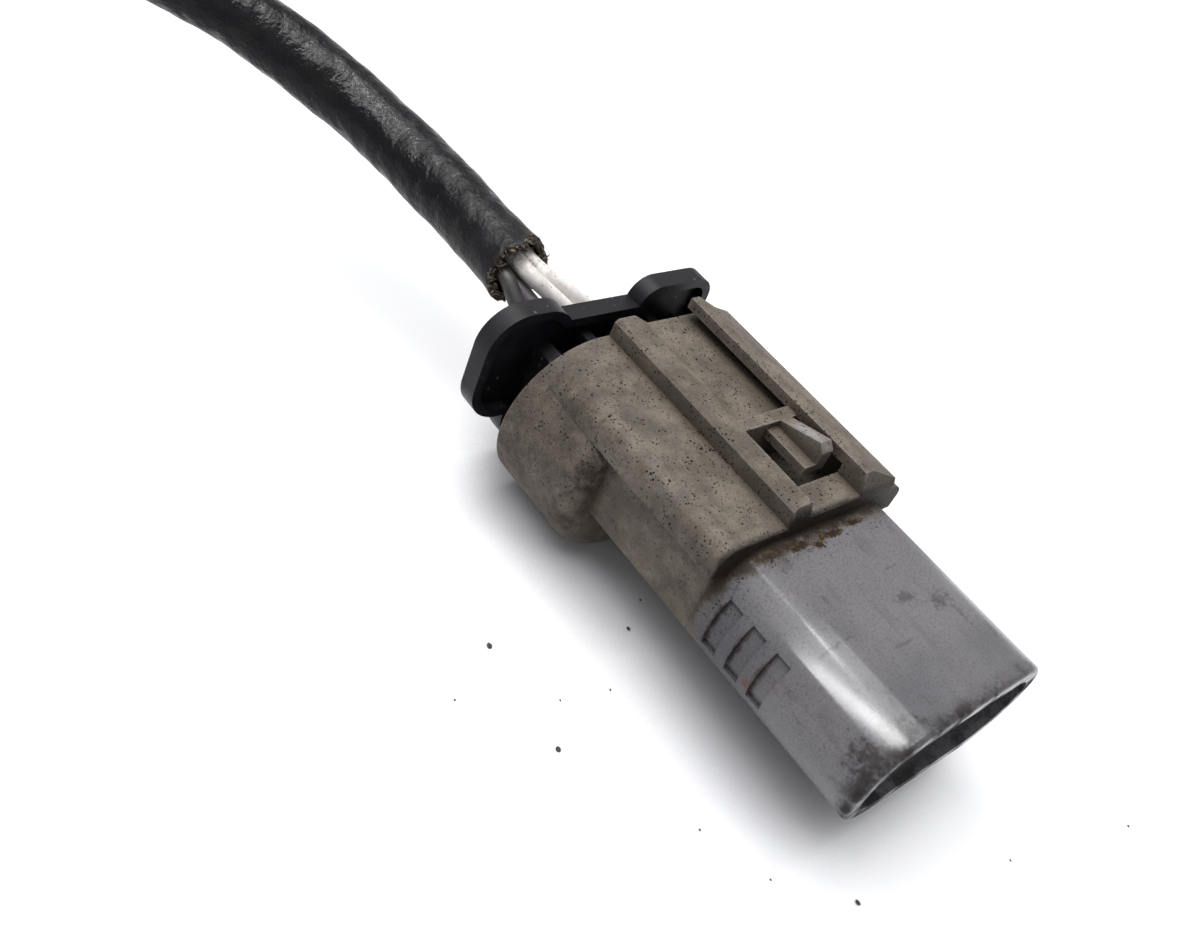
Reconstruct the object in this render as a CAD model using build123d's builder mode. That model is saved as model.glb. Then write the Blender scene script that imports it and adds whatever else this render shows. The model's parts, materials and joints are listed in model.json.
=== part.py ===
from build123d import *
import os
from math import atan2, cos, pi, radians, sin, tan

os.makedirs("parts", exist_ok=True)

# A heated oxygen sensor: a sealed four-way connector, a sleeved lead and a threaded probe.
# Millimetres. The origin is the centre of the connector's mouth, X runs to the right across it,
# Y runs back towards the wires and Z is up. Everything lies on one flat floor.

# Connector housing
housing_length = 51.9
hood_length = 22.7
hood_width = 27.6
hood_height = 13.4
hood_wall = 1.8
mating_depth = 19.0
mouth_round = 0.5
collar_width = 31.9
collar_height = 20.3
collar_drop = 2.3
collar_length = 12.5
collar_wall = 1.9
collar_round = 2.2
bore_floor = 1.5
deck_width = 27.6
deck_ledge = 4.2
deck_round = 1.9
deck_fade_length = 9.0
deck_fade_margin = 2.0
deck_fade_inset = 0.1
panel_width = 25.0
panel_bottom = -5.0

# Rails on top of the housing, off the centre line, and the latch in their window
slot_rise = 0.7
rail_left = -5.0
rail_right = 11.3
left_rail_height = 2.2
left_rail_width = 2.7
left_rail_slope = 2.6
left_rail_chamfer = 0.4
right_rail_height = 3.15
right_rail_drop = 1.75
right_rail_flat = 1.2
right_lip_width = 5.5
right_web_width = 2.8
lip_thickness = 1.25
rail_nose = 1.0
rail_notch_length = 1.4
crossbar_rear = 35.0
crossbar_thickness = 1.5
window_front = 26.4
window_depth = 3.2
tongue_left = 1.4
tongue_width = 3.4
tongue_reach = 5.9
tongue_thickness = 1.0
tongue_drop = 1.7
wedge_width = 1.7
wedge_inset = 1.7
wedge_rise = 2.3
wedge_nose = 0.8

# Grips cut into the shoulders of the hood
grip_count = 3
grip_first = 13.9
grip_pitch = 3.3
grip_length = 1.9
grip_depth = 0.45
grip_top = 3.6
grip_bottom = -2.6

# Terminals, their passages and their lock
terminal_count = 4
terminal_pitch = 4.6
blade_width = 2.2
blade_thickness = 0.64
blade_reach = 12.5
box_width = 2.8
box_height = 2.5
box_length_share = 0.415
neck_width = 1.5
neck_length_share = 0.12
barrel_radius = 1.35
barrel_length_share = 0.23
passage_clearance = 0.2
passage_wall = 1.2
lock_thickness = 1.5
lock_clearance = 0.15

# Wire seal
seal_length = 7.5
seal_rib_count = 3
seal_rib_width = 1.1
seal_rib_proud = 0.35
seal_clearance = 0.05

# Rear retainer, with one ear past the left side and another over the top
plate_gap = 3.0
plate_thickness = 1.2
rim_depth = 1.1
rim_width = 1.1
plate_left = -13.0
plate_right = 12.9
plate_top = 8.1
plate_bottom = -9.5
plate_round = 5.0
left_ear_start = -7.0
left_ear_end = -18.3
left_ear_top = 9.8
left_ear_bottom = -4.3
left_ear_round = 4.6
top_ear_start = 1.7
top_ear_rise = 10.5
top_ear_height = 8.0
top_ear_round = 2.8
hub_width = 19.5
hub_height = 5.6
leg_count = 5
leg_pitch = 5.0
leg_width = 1.3
leg_clearance = 0.25
seal_gap = 0.3
wire_hole_clearance = 0.3

# Lead: four wires that run into one coated sleeve
wire_radius = 0.97
wire_bend = 2.6
wire_rear_run = 2.4
wire_fit = 0.05
sleeve_radius = 4.1
sleeve_bore = 3.45
sleeve_mouth_depth = 5.0
sleeve_bend_share = 0.45
grommet_lead_in = 14.0

# Probe, along its own axis from the seat of its gasket: towards the tip is positive
probe_side = -133.0
probe_seat_ahead = 72.2
thread_radius = 9.0
thread_length = 9.5
thread_start = 1.8
thread_relief = 0.7
thread_chamfer = 0.8
spigot_radius = 7.1
spigot_length = 2.4
hex_flats = 22.0
hex_thickness = 8.0
hex_chamfer = 1.3
collar_crimp_radius = 8.9
collar_crimp_length = 4.6
collar_crimp_chamfer = 1.0
gasket_radius = 10.6
gasket_thickness = 1.6
gasket_clearance = 0.15
gasket_round = 0.5
body_bore = 6.4
nose_bore = 4.1
body_floor = 2.0
fit = 0.05
shield_radius = 6.2
shield_wall = 0.5
shield_length = 17.0
shield_depth = 1.5
shield_round = 1.8
shield_hole_radius = 1.1
shield_hole_count = 6
shield_hole_setback = 5.0
inner_shield_radius = 3.9
inner_shield_wall = 0.4
inner_shield_length = 13.5
inner_shield_round = 1.2
inner_hole_radius = 0.8
inner_hole_count = 4
inner_hole_place = 4.5
casing_radius = 6.3
casing_wall = 0.6
casing_flange_radius = 7.6
casing_flange = 0.9
casing_crimp_depth = 0.45
casing_crimp_width = 1.4
casing_crimp_setback = 2.2
casing_hole_radius = 0.7
casing_hole_count = 6
vent_radius = 7.2
vent_wall = 0.45
vent_setback = 4.5
vent_length = 10.0
vent_crimp = 1.2
vent_hole_radius = 0.8
vent_hole_count = 8
filter_thickness = 0.25
filter_margin = 1.3
grommet_depth = 8.0
grommet_tail = 6.0
grommet_tail_radius = 5.0
grommet_tail_chamfer = 0.6

# Inside the probe
element_width = 3.8
element_thickness = 1.5
element_tip = 19.5
element_length = 50.0
element_chamfer = 0.35
element_clearance = 0.1
holder_radius = 6.3
holder_length = 4.0
talc_length = 5.5
rear_neck_radius = 4.7
rear_neck_length = 4.0
insulator_radius = 5.1
insulator_length_share = 0.655
insulator_overlap = 1.0
grommet_gap = 7.2
insulator_slot_width = 4.4
insulator_slot_height = 4.0
ring_width = 4.0
ring_slit = 1.2
contact_width = 1.3
contact_thickness = 0.3
contact_margin_share = 0.09
contact_foot_share = 0.135
contact_pad_share = 0.18
contact_spacing = 1.9

deck_top = collar_height / 2 - collar_drop
slot_floor = deck_top + slot_rise
left_rail_top = deck_top + left_rail_height
rail_top = deck_top + right_rail_height
floor_z = -collar_drop - collar_height / 2
slot_left = rail_left + left_rail_width
slot_right = rail_right - right_lip_width
web_left = rail_right - right_web_width
bore_depth = collar_length - bore_floor
bore_front = housing_length - bore_depth
deck_fade_end = housing_length - deck_fade_margin
deck_fade_start = deck_fade_end - deck_fade_length
bore_width = collar_width - 2 * collar_wall
bore_height = collar_height - 2 * collar_wall


def across(y):
    """The upright plane across the connector at a distance y behind the mouth, facing the mouth."""
    return Plane.XZ.offset(-y)


def deck_outline(half_width, top, corner_width, corner_height):
    """The deck's section above its ledge, with a quarter ellipse at each top corner."""
    with BuildLine() as outline:
        shoulder = top - corner_height
        left = EllipticalCenterArc(
            (corner_width - half_width, shoulder), corner_width, corner_height, 90, arc_size=90
        )
        right = EllipticalCenterArc(
            (half_width - corner_width, shoulder), corner_width, corner_height, 0, arc_size=90
        )
        Line(left @ 0, right @ 1)
        Polyline(left @ 1, (-half_width, deck_ledge), (half_width, deck_ledge), right @ 0)
    make_face(outline.edges())


def keep(piece, name):
    """Label a finished piece and write it under its own name."""
    piece.part.label = name
    export_step(piece.part, f"parts/{name}.step")


# The housing is one moulding. Its hood and core share one rounded outline, the collar and the
# deck share a larger one, and the rails, crossbar and latch stand on the deck.
with BuildPart() as collar:
    with BuildSketch(across(housing_length)):
        with Locations((0, -collar_drop)):
            SlotOverall(collar_width, collar_height)
    extrude(amount=collar_length)
    fillet(collar.faces().sort_by(Axis.Y)[0].edges(), collar_round)

with BuildPart() as connector_housing:
    with BuildSketch(across(housing_length - collar_length / 2)):
        SlotOverall(hood_width, hood_height)
    extrude(amount=housing_length - collar_length / 2)
    fillet(connector_housing.faces().sort_by(Axis.Y)[0].edges(), mouth_round)

    # A flat panel on each side, under the deck's edge and in front of the collar.
    with BuildSketch(across(housing_length)):
        with Locations((0, panel_bottom)):
            Rectangle(hood_width, deck_ledge - panel_bottom, align=(Align.CENTER, Align.MIN))
        with Locations((0, panel_bottom)):
            Rectangle(
                panel_width,
                deck_ledge - panel_bottom,
                align=(Align.CENTER, Align.MIN),
                mode=Mode.SUBTRACT,
            )
    extrude(amount=housing_length - hood_length, mode=Mode.SUBTRACT)
    add(collar.part)

    # The deck ends square at the step and fades into the collar's round outline behind.
    with BuildSketch(across(deck_fade_start)):
        deck_outline(deck_width / 2, deck_top, deck_round, deck_round)
    extrude(amount=deck_fade_start - hood_length)
    with BuildSketch(across(deck_fade_start)):
        deck_outline(deck_width / 2, deck_top, deck_round, deck_round)
    with BuildSketch(across(deck_fade_end)):
        ledge_rise = deck_ledge + collar_drop
        collar_corner = collar_height / 2
        fade_reach = (collar_corner**2 - ledge_rise**2) ** 0.5
        deck_outline(
            collar_width / 2 - collar_corner + fade_reach - deck_fade_inset,
            deck_top - deck_fade_inset,
            fade_reach,
            deck_top - deck_ledge - 2 * deck_fade_inset,
        )
    loft()

    # The left rail slopes down to the slot's floor. The right one falls away outward.
    with BuildSketch(across(housing_length)):
        with BuildLine():
            Polyline(
                (rail_left, 0),
                (rail_left, left_rail_top - left_rail_chamfer),
                (rail_left + left_rail_chamfer, left_rail_top),
                (slot_left, left_rail_top),
                (slot_left + left_rail_slope, slot_floor),
                (slot_right, slot_floor),
                (slot_right, rail_top),
                (slot_right + right_rail_flat, rail_top),
                (rail_right, rail_top - right_rail_drop),
                (rail_right, 0),
                close=True,
            )
        make_face()
    extrude(amount=housing_length - hood_length)

    # In front of the window the left rail stands square on the slot's floor.
    with BuildSketch(across(window_front)):
        with Locations((slot_left, slot_floor)):
            Rectangle(left_rail_slope, left_rail_height, align=(Align.MIN, Align.MIN))
    extrude(amount=window_front - hood_length, mode=Mode.SUBTRACT)

    # Behind the crossbar the right rail's lip stands over an undercut slot, and its outer edge
    # is cut down at the very back.
    with BuildSketch(across(housing_length)):
        with Locations((slot_right, slot_floor)):
            Rectangle(
                web_left - slot_right,
                rail_top - lip_thickness - slot_floor,
                align=(Align.MIN, Align.MIN),
            )
    extrude(amount=housing_length - crossbar_rear, mode=Mode.SUBTRACT)
    with BuildSketch(across(housing_length)):
        with BuildLine():
            notch_left = slot_right + right_rail_flat
            Polyline(
                (notch_left, rail_top),
                (rail_right, slot_floor),
                (rail_right, rail_top),
                close=True,
            )
        make_face()
    extrude(amount=rail_notch_length, mode=Mode.SUBTRACT)

    # Both rails lean back at the step.
    with BuildSketch(Plane.YZ.offset(rail_left)):
        with BuildLine():
            Polyline(
                (hood_length, slot_floor),
                (hood_length, rail_top),
                (hood_length + rail_nose, rail_top),
                close=True,
            )
        make_face()
    extrude(amount=rail_right - rail_left, mode=Mode.SUBTRACT)
    with BuildSketch(across(crossbar_rear)):
        with Locations((slot_left, 0)):
            Rectangle(slot_right - slot_left, left_rail_top, align=(Align.MIN, Align.MIN))
    extrude(amount=crossbar_thickness)

    # The window in front of the crossbar, and the latch tongue that hangs forward into it.
    with BuildSketch(across(crossbar_rear - crossbar_thickness)):
        with Locations((slot_left, deck_top - window_depth)):
            Rectangle(
                web_left - slot_left,
                window_depth + right_rail_height - lip_thickness,
                align=(Align.MIN, Align.MIN),
            )
            Rectangle(
                slot_right - slot_left,
                window_depth + right_rail_height,
                align=(Align.MIN, Align.MIN),
            )
    extrude(amount=crossbar_rear - crossbar_thickness - window_front, mode=Mode.SUBTRACT)
    with BuildSketch(across(crossbar_rear)):
        with Locations((tongue_left, rail_top - tongue_drop)):
            Rectangle(tongue_width, tongue_thickness, align=(Align.MIN, Align.MAX))
    extrude(amount=crossbar_thickness + tongue_reach)
    with BuildSketch(Plane.YZ.offset(tongue_left + wedge_inset)):
        with BuildLine():
            wedge_root = rail_top - tongue_drop
            wedge_back = crossbar_rear - crossbar_thickness
            wedge_front = wedge_back - tongue_reach
            Polyline(
                (wedge_back, left_rail_top),
                (wedge_front + wedge_nose, wedge_root + wedge_rise),
                (wedge_front, wedge_root + wedge_rise - wedge_nose),
                (wedge_front, wedge_root - tongue_thickness),
                (wedge_back, wedge_root - tongue_thickness),
                close=True,
            )
        make_face()
    extrude(amount=wedge_width)

    # Grips: shallow steps cut round each shoulder.
    for row in range(grip_count):
        with BuildSketch(across(grip_first + row * grip_pitch)):
            SlotOverall(hood_width + 2 * grip_depth, hood_height + 2 * grip_depth)
            SlotOverall(
                hood_width - 2 * grip_depth, hood_height - 2 * grip_depth, mode=Mode.SUBTRACT
            )
            with Locations((0, grip_bottom)):
                Rectangle(
                    hood_width + 2 * grip_depth,
                    grip_top - grip_bottom,
                    align=(Align.CENTER, Align.MIN),
                    mode=Mode.INTERSECT,
                )
        extrude(amount=grip_length, mode=Mode.SUBTRACT)

    # The mating cavity, the bore for the seal and one passage for each terminal.
    with BuildSketch(across(mating_depth)):
        SlotOverall(hood_width - 2 * hood_wall, hood_height - 2 * hood_wall)
    extrude(amount=mating_depth, mode=Mode.SUBTRACT)
    with BuildSketch(across(housing_length)):
        with Locations((0, -collar_drop)):
            SlotOverall(bore_width, bore_height)
    extrude(amount=bore_depth, mode=Mode.SUBTRACT)
    with BuildSketch(across(bore_front)):
        with GridLocations(terminal_pitch, 0, terminal_count, 1):
            Rectangle(box_width + 2 * passage_clearance, box_height + 2 * passage_clearance)
    extrude(amount=bore_front - mating_depth - passage_wall, mode=Mode.SUBTRACT)
    with BuildSketch(across(bore_front)):
        with GridLocations(terminal_pitch, 0, terminal_count, 1):
            Rectangle(blade_width + passage_clearance, blade_thickness + passage_clearance)
    extrude(amount=bore_front - mating_depth, mode=Mode.SUBTRACT)
keep(connector_housing, "connector_housing")

# Each terminal is one folded strip: a flat blade, a box that locks in the passage, a neck and a
# barrel that holds its wire.
blade_tip = mating_depth - blade_reach
box_front = mating_depth + passage_wall
terminal_run = bore_front - box_front
box_length = terminal_run * box_length_share
neck_length = terminal_run * neck_length_share
barrel_length = terminal_run * barrel_length_share
barrel_front = box_front + box_length + neck_length
barrel_rear = barrel_front + barrel_length
terminal_places = [
    (number - (terminal_count - 1) / 2) * terminal_pitch for number in range(terminal_count)
]
for number, place in enumerate(terminal_places, start=1):
    with BuildPart() as terminal:
        with BuildSketch(across(box_front)):
            with Locations((place, 0)):
                Rectangle(blade_width, blade_thickness)
        extrude(amount=box_front - blade_tip)
        tip_edges = terminal.faces().sort_by(Axis.Y)[0].edges()
        chamfer(tip_edges, blade_thickness / 3)
        with BuildSketch(across(box_front + box_length)):
            with Locations((place, 0)):
                Rectangle(box_width, box_height)
        extrude(amount=box_length)
        with BuildSketch(across(barrel_front)):
            with Locations((place, 0)):
                Rectangle(neck_width, blade_thickness)
        extrude(amount=neck_length)
        with BuildSketch(across(barrel_rear)):
            with Locations((place, 0)):
                Circle(barrel_radius)
        extrude(amount=barrel_length)
        with BuildSketch(across(barrel_rear)):
            with Locations((place, 0)):
                Circle(wire_radius + wire_fit)
        extrude(amount=barrel_length - blade_thickness, mode=Mode.SUBTRACT)
    keep(terminal, f"terminal_{number}")

# A flat comb at the bottom of the mating cavity locks the terminals.
with BuildPart() as terminal_lock:
    with BuildSketch(across(mating_depth)):
        SlotOverall(
            hood_width - 2 * hood_wall - 2 * lock_clearance,
            hood_height - 2 * hood_wall - 2 * lock_clearance,
        )
        with GridLocations(terminal_pitch, 0, terminal_count, 1):
            Rectangle(
                blade_width + passage_clearance,
                blade_thickness + passage_clearance,
                mode=Mode.SUBTRACT,
            )
    extrude(amount=lock_thickness)
keep(terminal_lock, "terminal_lock")

# The seal is a rubber mat with raised rings round its edge and one hole for each wire.
with BuildPart() as wire_seal:
    with BuildSketch(across(bore_front + seal_length)):
        with Locations((0, -collar_drop)):
            SlotOverall(
                bore_width - 2 * seal_clearance - 2 * seal_rib_proud,
                bore_height - 2 * seal_clearance - 2 * seal_rib_proud,
            )
    extrude(amount=seal_length)
    seal_rib_pitch = (seal_length - seal_rib_width) / (seal_rib_count - 1)
    for ring in range(seal_rib_count):
        with BuildSketch(across(bore_front + seal_rib_width + ring * seal_rib_pitch)):
            with Locations((0, -collar_drop)):
                SlotOverall(bore_width - 2 * seal_clearance, bore_height - 2 * seal_clearance)
        extrude(amount=seal_rib_width)
    with BuildSketch(across(bore_front + seal_length)):
        with GridLocations(terminal_pitch, 0, terminal_count, 1):
            Circle(wire_radius + wire_fit)
    extrude(amount=seal_length, mode=Mode.SUBTRACT)
keep(wire_seal, "wire_seal")

# The retainer's plate has a rim that faces the housing. Its hub and legs reach into the bore
# and hold the seal, and each wire has a hole through the hub.
rim_front = housing_length + plate_gap
plate_front = rim_front + rim_depth
plate_rear = plate_front + plate_thickness
hub_front = bore_front + seal_length + seal_gap


def rounded_box(left, right, bottom, top, corner):
    """A rounded rectangle in the open sketch, between four named sides."""
    with Locations(((left + right) / 2, (bottom + top) / 2)):
        RectangleRounded(right - left, top - bottom, corner)


def plate_outline():
    """The plate's outline: its body, the ear past the left side and the ear over the top."""
    rounded_box(plate_left, plate_right, plate_bottom, plate_top, plate_round)
    rounded_box(left_ear_end, left_ear_start, left_ear_bottom, left_ear_top, left_ear_round)
    top_ear_bottom = top_ear_rise - top_ear_height
    rounded_box(top_ear_start, plate_right, top_ear_bottom, top_ear_rise, top_ear_round)


with BuildPart() as rear_retainer:
    with BuildSketch(across(plate_rear)):
        plate_outline()
    extrude(amount=plate_rear - rim_front)
    with BuildSketch(across(plate_front)):
        plate_outline()
        offset(amount=-rim_width, mode=Mode.REPLACE)
    extrude(amount=rim_depth, mode=Mode.SUBTRACT)
    with BuildSketch(across(plate_front)):
        SlotOverall(hub_width, hub_height)
    extrude(amount=plate_front - hub_front)
    with BuildSketch(across(plate_front)):
        with GridLocations(leg_pitch, 0, leg_count, 1):
            Rectangle(leg_width, 2 * bore_height)
        with Locations((0, -collar_drop)):
            SlotOverall(
                bore_width - 2 * leg_clearance, bore_height - 2 * leg_clearance, mode=Mode.INTERSECT
            )
    extrude(amount=plate_front - hub_front)
    with BuildSketch(across(plate_rear)):
        with GridLocations(terminal_pitch, 0, terminal_count, 1):
            Circle(wire_radius + wire_hole_clearance)
    extrude(amount=plate_rear - hub_front, mode=Mode.SUBTRACT)
keep(rear_retainer, "rear_retainer")

# The probe lies on its hexagon and on the back edge of its vent cover, so its axis leans up
# towards the tip. Its sections are drawn in a plane that holds that axis.
collar_rear = -hex_thickness - collar_crimp_length
flange_seat = collar_rear + collar_crimp_chamfer + casing_flange
element_rear = element_tip - element_length
insulator_rear = element_rear - insulator_overlap
neck_rear = flange_seat - rear_neck_length
insulator_length = (neck_rear - insulator_rear) * insulator_length_share
insulator_front = insulator_rear + insulator_length
casing_rear = insulator_rear - grommet_gap - grommet_depth
vent_rear = casing_rear + vent_setback
vent_front = vent_rear + vent_length
rest_place = vent_rear + vent_crimp
lean = atan2(hex_flats / 2 - vent_radius, -hex_thickness - rest_place)
seat_height = hex_flats / 2 * cos(lean) + hex_thickness * sin(lean)
tip_way = Vector(0, -cos(lean), sin(lean))
probe_seat = Vector(probe_side, plate_rear - probe_seat_ahead, floor_z + seat_height)
probe_axis = Axis(probe_seat, tip_way)
probe_section = Plane(origin=probe_seat, x_dir=tip_way, z_dir=(1, 0, 0))


def facing_tip(along):
    """The plane square to the probe's axis at a distance along it, facing the tip."""
    return Plane(origin=probe_seat + tip_way * along, x_dir=(1, 0, 0), z_dir=tip_way)


# The wires leave the retainer side by side, bend up and gather in the sleeve's cut end. Each
# route gives a place across the connector, a place in the sleeve's section and how far ahead of
# the cut end the wire turns into line with it. The
# sleeve's route was chosen by hand and rounded at every corner: it follows the picture's arch,
# then comes down past the connector to the probe's grommet.
grommet_rear = casing_rear - grommet_tail
sleeve_end = probe_seat + tip_way * grommet_rear
sleeve_lead_in = sleeve_end - tip_way * grommet_lead_in
retainer_back = Vector(0, plate_rear, 0)
sleeve_points = [
    retainer_back + Vector(-5.5, 9.8, 4.9),
    retainer_back + Vector(-6.2, 27.9, 5.7),
    retainer_back + Vector(-12.8, 44.3, 9.4),
    retainer_back + Vector(-23.7, 56.6, 14.1),
    retainer_back + Vector(-36.5, 64.3, 16.7),
    retainer_back + Vector(-60.1, 71.0, 16.8),
    retainer_back + Vector(-100.0, 65.8, 4.7),
    retainer_back + Vector(-121.5, 47.8, -0.9),
    retainer_back + Vector(-131.5, 20.8, -5.9),
    sleeve_lead_in,
    sleeve_end,
]


def bend_radii(points):
    """The radius at each inner point: a share of the shorter run over the half turn's tangent."""
    radii = []
    for before, corner, after in zip(points, points[1:], points[2:]):
        run_in = corner - before
        run_out = after - corner
        half_turn = radians(run_in.get_angle(run_out)) / 2
        radii.append(sleeve_bend_share * min(run_in.length, run_out.length) / tan(half_turn))
    return radii


sleeve_radii = bend_radii(sleeve_points)
mouth_way = (sleeve_points[1] - sleeve_points[0]).normalized()
mouth_right = mouth_way.cross(Vector(0, 0, 1)).normalized()
mouth_up = mouth_right.cross(mouth_way)
wire_routes = {
    "wire_black": (terminal_places[0], -2.2, 0.0, 0.6),
    "wire_grey": (terminal_places[1], -0.4, -1.3, 0.6),
    "wire_white_left": (terminal_places[2], 0.0, 0.85, 1.45),
    "wire_white_right": (terminal_places[3], 2.12, 0.46, 0.47),
}
for name, (place, right, up, ahead) in wire_routes.items():
    wire_start = Vector(place, barrel_front + blade_thickness, 0)
    wire_turn = Vector(place, plate_rear + wire_rear_run, 0)
    wire_mouth = sleeve_points[0] + mouth_right * right + mouth_up * up
    wire_gather = wire_mouth - mouth_way * ahead
    wire_end = wire_mouth + mouth_way * sleeve_mouth_depth
    with BuildPart() as wire:
        with BuildLine() as wire_route:
            FilletPolyline(wire_start, wire_turn, wire_gather, wire_end, radius=wire_bend)
        with BuildSketch(Plane(origin=wire_start, z_dir=(0, 1, 0))):
            Circle(wire_radius)
        sweep(path=wire_route.wires()[0])
    keep(wire, name)

with BuildPart() as lead_sleeve:
    with BuildLine() as sleeve_route:
        FilletPolyline(*sleeve_points, radius=sleeve_radii)
    mouth_plane = Plane(origin=sleeve_points[0], x_dir=mouth_right, z_dir=mouth_way)
    with BuildSketch(mouth_plane):
        Circle(sleeve_radius)
    sweep(path=sleeve_route.wires()[0])
    sleeve_solid = lead_sleeve.part.volume
    with BuildSketch(mouth_plane):
        Circle(sleeve_bore)
    extrude(amount=sleeve_mouth_depth, mode=Mode.SUBTRACT)
keep(lead_sleeve, "lead_sleeve")
sleeve_length = sleeve_route.wires()[0].length
print("sleeve bend radii", [round(radius, 1) for radius in sleeve_radii])
print("sleeve length", round(sleeve_length, 1), "volume", round(sleeve_solid, 1))
print("section times length", round(pi * sleeve_radius**2 * sleeve_length, 1))

def turn(outline, mode=Mode.ADD):
    """Turn an outline round the probe's axis; its points are places along it and radii."""
    with BuildSketch(probe_section) as profile:
        with BuildLine():
            Polyline(*outline, close=True)
        make_face()
    revolve(profile.sketch, axis=probe_axis, mode=mode)


full_turn = 360


def drill_round(place, count, radius, reach):
    """Drill holes square to the probe's axis, spread evenly round it at one place along it."""
    for number in range(count):
        hole_plane = Plane(origin=probe_seat + tip_way * place, x_dir=tip_way, z_dir=(1, 0, 0))
        axis_turn = Location(Plane(origin=probe_seat, x_dir=(1, 0, 0), z_dir=tip_way))
        step = Location((0, 0, 0), (0, 0, full_turn * number / count))
        spin = axis_turn * step * axis_turn.inverse()
        with BuildSketch(Plane(spin * hole_plane.location)) as hole:
            Circle(radius)
        extrude(hole.sketch, amount=reach, mode=Mode.SUBTRACT)


# The body: a threaded nose, a hexagon with chamfered corners and a collar crimped at the back.
thread_end = thread_start + thread_length
spigot_end = thread_end + spigot_length
shield_seat = spigot_end - shield_depth
thread_root = thread_radius - thread_relief
with BuildPart() as hex_body:
    with BuildSketch(facing_tip(-hex_thickness)):
        RegularPolygon(hex_flats / 2, 6, major_radius=False)
    extrude(amount=hex_thickness)
    hex_corner = hex_flats / 2 / cos(pi / 6)
    turn(
        [
            (-hex_thickness, 0),
            (-hex_thickness, hex_corner - hex_chamfer),
            (-hex_thickness + hex_chamfer / 2, hex_corner),
            (-hex_chamfer / 2, hex_corner),
            (0, hex_corner - hex_chamfer),
            (0, 0),
        ],
        Mode.INTERSECT,
    )
    turn(
        [
            (0, 0),
            (0, thread_root),
            (thread_start, thread_root),
            (thread_start + thread_chamfer, thread_radius),
            (thread_end - thread_chamfer, thread_radius),
            (thread_end, thread_radius - thread_chamfer),
            (thread_end, spigot_radius),
            (spigot_end, spigot_radius),
            (spigot_end, 0),
        ]
    )
    turn(
        [
            (collar_rear, 0),
            (collar_rear, collar_crimp_radius - collar_crimp_chamfer),
            (collar_rear + collar_crimp_chamfer, collar_crimp_radius),
            (-hex_thickness, collar_crimp_radius),
            (-hex_thickness, 0),
        ]
    )
    turn(
        [
            (collar_rear, 0),
            (collar_rear, casing_radius + fit),
            (flange_seat - casing_flange, casing_radius + fit),
            (flange_seat - casing_flange, casing_flange_radius + fit),
            (flange_seat, casing_flange_radius + fit),
            (flange_seat, body_bore),
            (body_floor, body_bore),
            (body_floor, nose_bore),
            (shield_seat, nose_bore),
            (shield_seat, shield_radius + fit),
            (spigot_end, shield_radius + fit),
            (spigot_end, 0),
        ],
        Mode.SUBTRACT,
    )
keep(hex_body, "hex_body")

# The captive gasket sits behind the thread, against the hexagon.
gasket_bore = thread_root + gasket_clearance
with BuildPart() as seat_gasket:
    turn(
        [
            (0, gasket_bore),
            (0, gasket_radius - gasket_round),
            (gasket_round, gasket_radius),
            (gasket_thickness - gasket_round, gasket_radius),
            (gasket_thickness, gasket_radius - gasket_round),
            (gasket_thickness, gasket_bore),
        ]
    )
keep(seat_gasket, "seat_gasket")

# Two perforated shields stand one inside the other round the tip.
outer_tip = shield_seat + shield_length
inner_tip = shield_seat + inner_shield_length
with BuildPart() as outer_shield:
    turn(
        [
            (shield_seat, 0),
            (shield_seat, shield_radius),
            (outer_tip - shield_round, shield_radius),
            (outer_tip, shield_radius - shield_round),
            (outer_tip, 0),
        ]
    )
    turn(
        [
            (shield_seat, 0),
            (shield_seat, shield_radius - shield_wall),
            (outer_tip - shield_round, shield_radius - shield_wall),
            (outer_tip - shield_wall, shield_radius - shield_round),
            (outer_tip - shield_wall, 0),
        ],
        Mode.SUBTRACT,
    )
    drill_round(
        outer_tip - shield_hole_setback, shield_hole_count, shield_hole_radius, 2 * shield_radius
    )
    with BuildSketch(facing_tip(inner_tip)):
        Circle(shield_hole_radius)
    extrude(amount=shield_length, mode=Mode.SUBTRACT)
keep(outer_shield, "outer_shield")

with BuildPart() as inner_shield:
    turn(
        [
            (shield_seat, 0),
            (shield_seat, shield_radius - shield_wall - fit),
            (shield_seat + inner_shield_wall, shield_radius - shield_wall - fit),
            (shield_seat + inner_shield_wall, inner_shield_radius),
            (inner_tip - inner_shield_round, inner_shield_radius),
            (inner_tip, inner_shield_radius - inner_shield_round),
            (inner_tip, 0),
        ]
    )
    turn(
        [
            (shield_seat, 0),
            (shield_seat, inner_shield_radius - inner_shield_wall),
            (inner_tip - inner_shield_round, inner_shield_radius - inner_shield_wall),
            (inner_tip - inner_shield_wall, inner_shield_radius - inner_shield_round),
            (inner_tip - inner_shield_wall, 0),
        ],
        Mode.SUBTRACT,
    )
    drill_round(
        shield_seat + inner_hole_place, inner_hole_count, inner_hole_radius, shield_radius
    )
keep(inner_shield, "inner_shield")

# The ceramic and talc stack that holds the flat element, from the body's floor to the casing.
front_holder_rear = body_floor - holder_length
talc_rear = front_holder_rear - talc_length


def cut_element_slot(place, reach):
    """Cut the element's own slot through a holder from a place along the axis towards the tip."""
    with BuildSketch(facing_tip(place)) as slot:
        Rectangle(element_width + 2 * element_clearance, element_thickness + 2 * element_clearance)
    extrude(slot.sketch, amount=reach, mode=Mode.SUBTRACT)


with BuildPart() as zirconia_element:
    with BuildSketch(facing_tip(element_rear)):
        Rectangle(element_width, element_thickness)
    extrude(amount=element_length)
    chamfer(zirconia_element.edges().filter_by(Axis((0, 0, 0), tip_way)), element_chamfer)
keep(zirconia_element, "zirconia_element")

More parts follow.
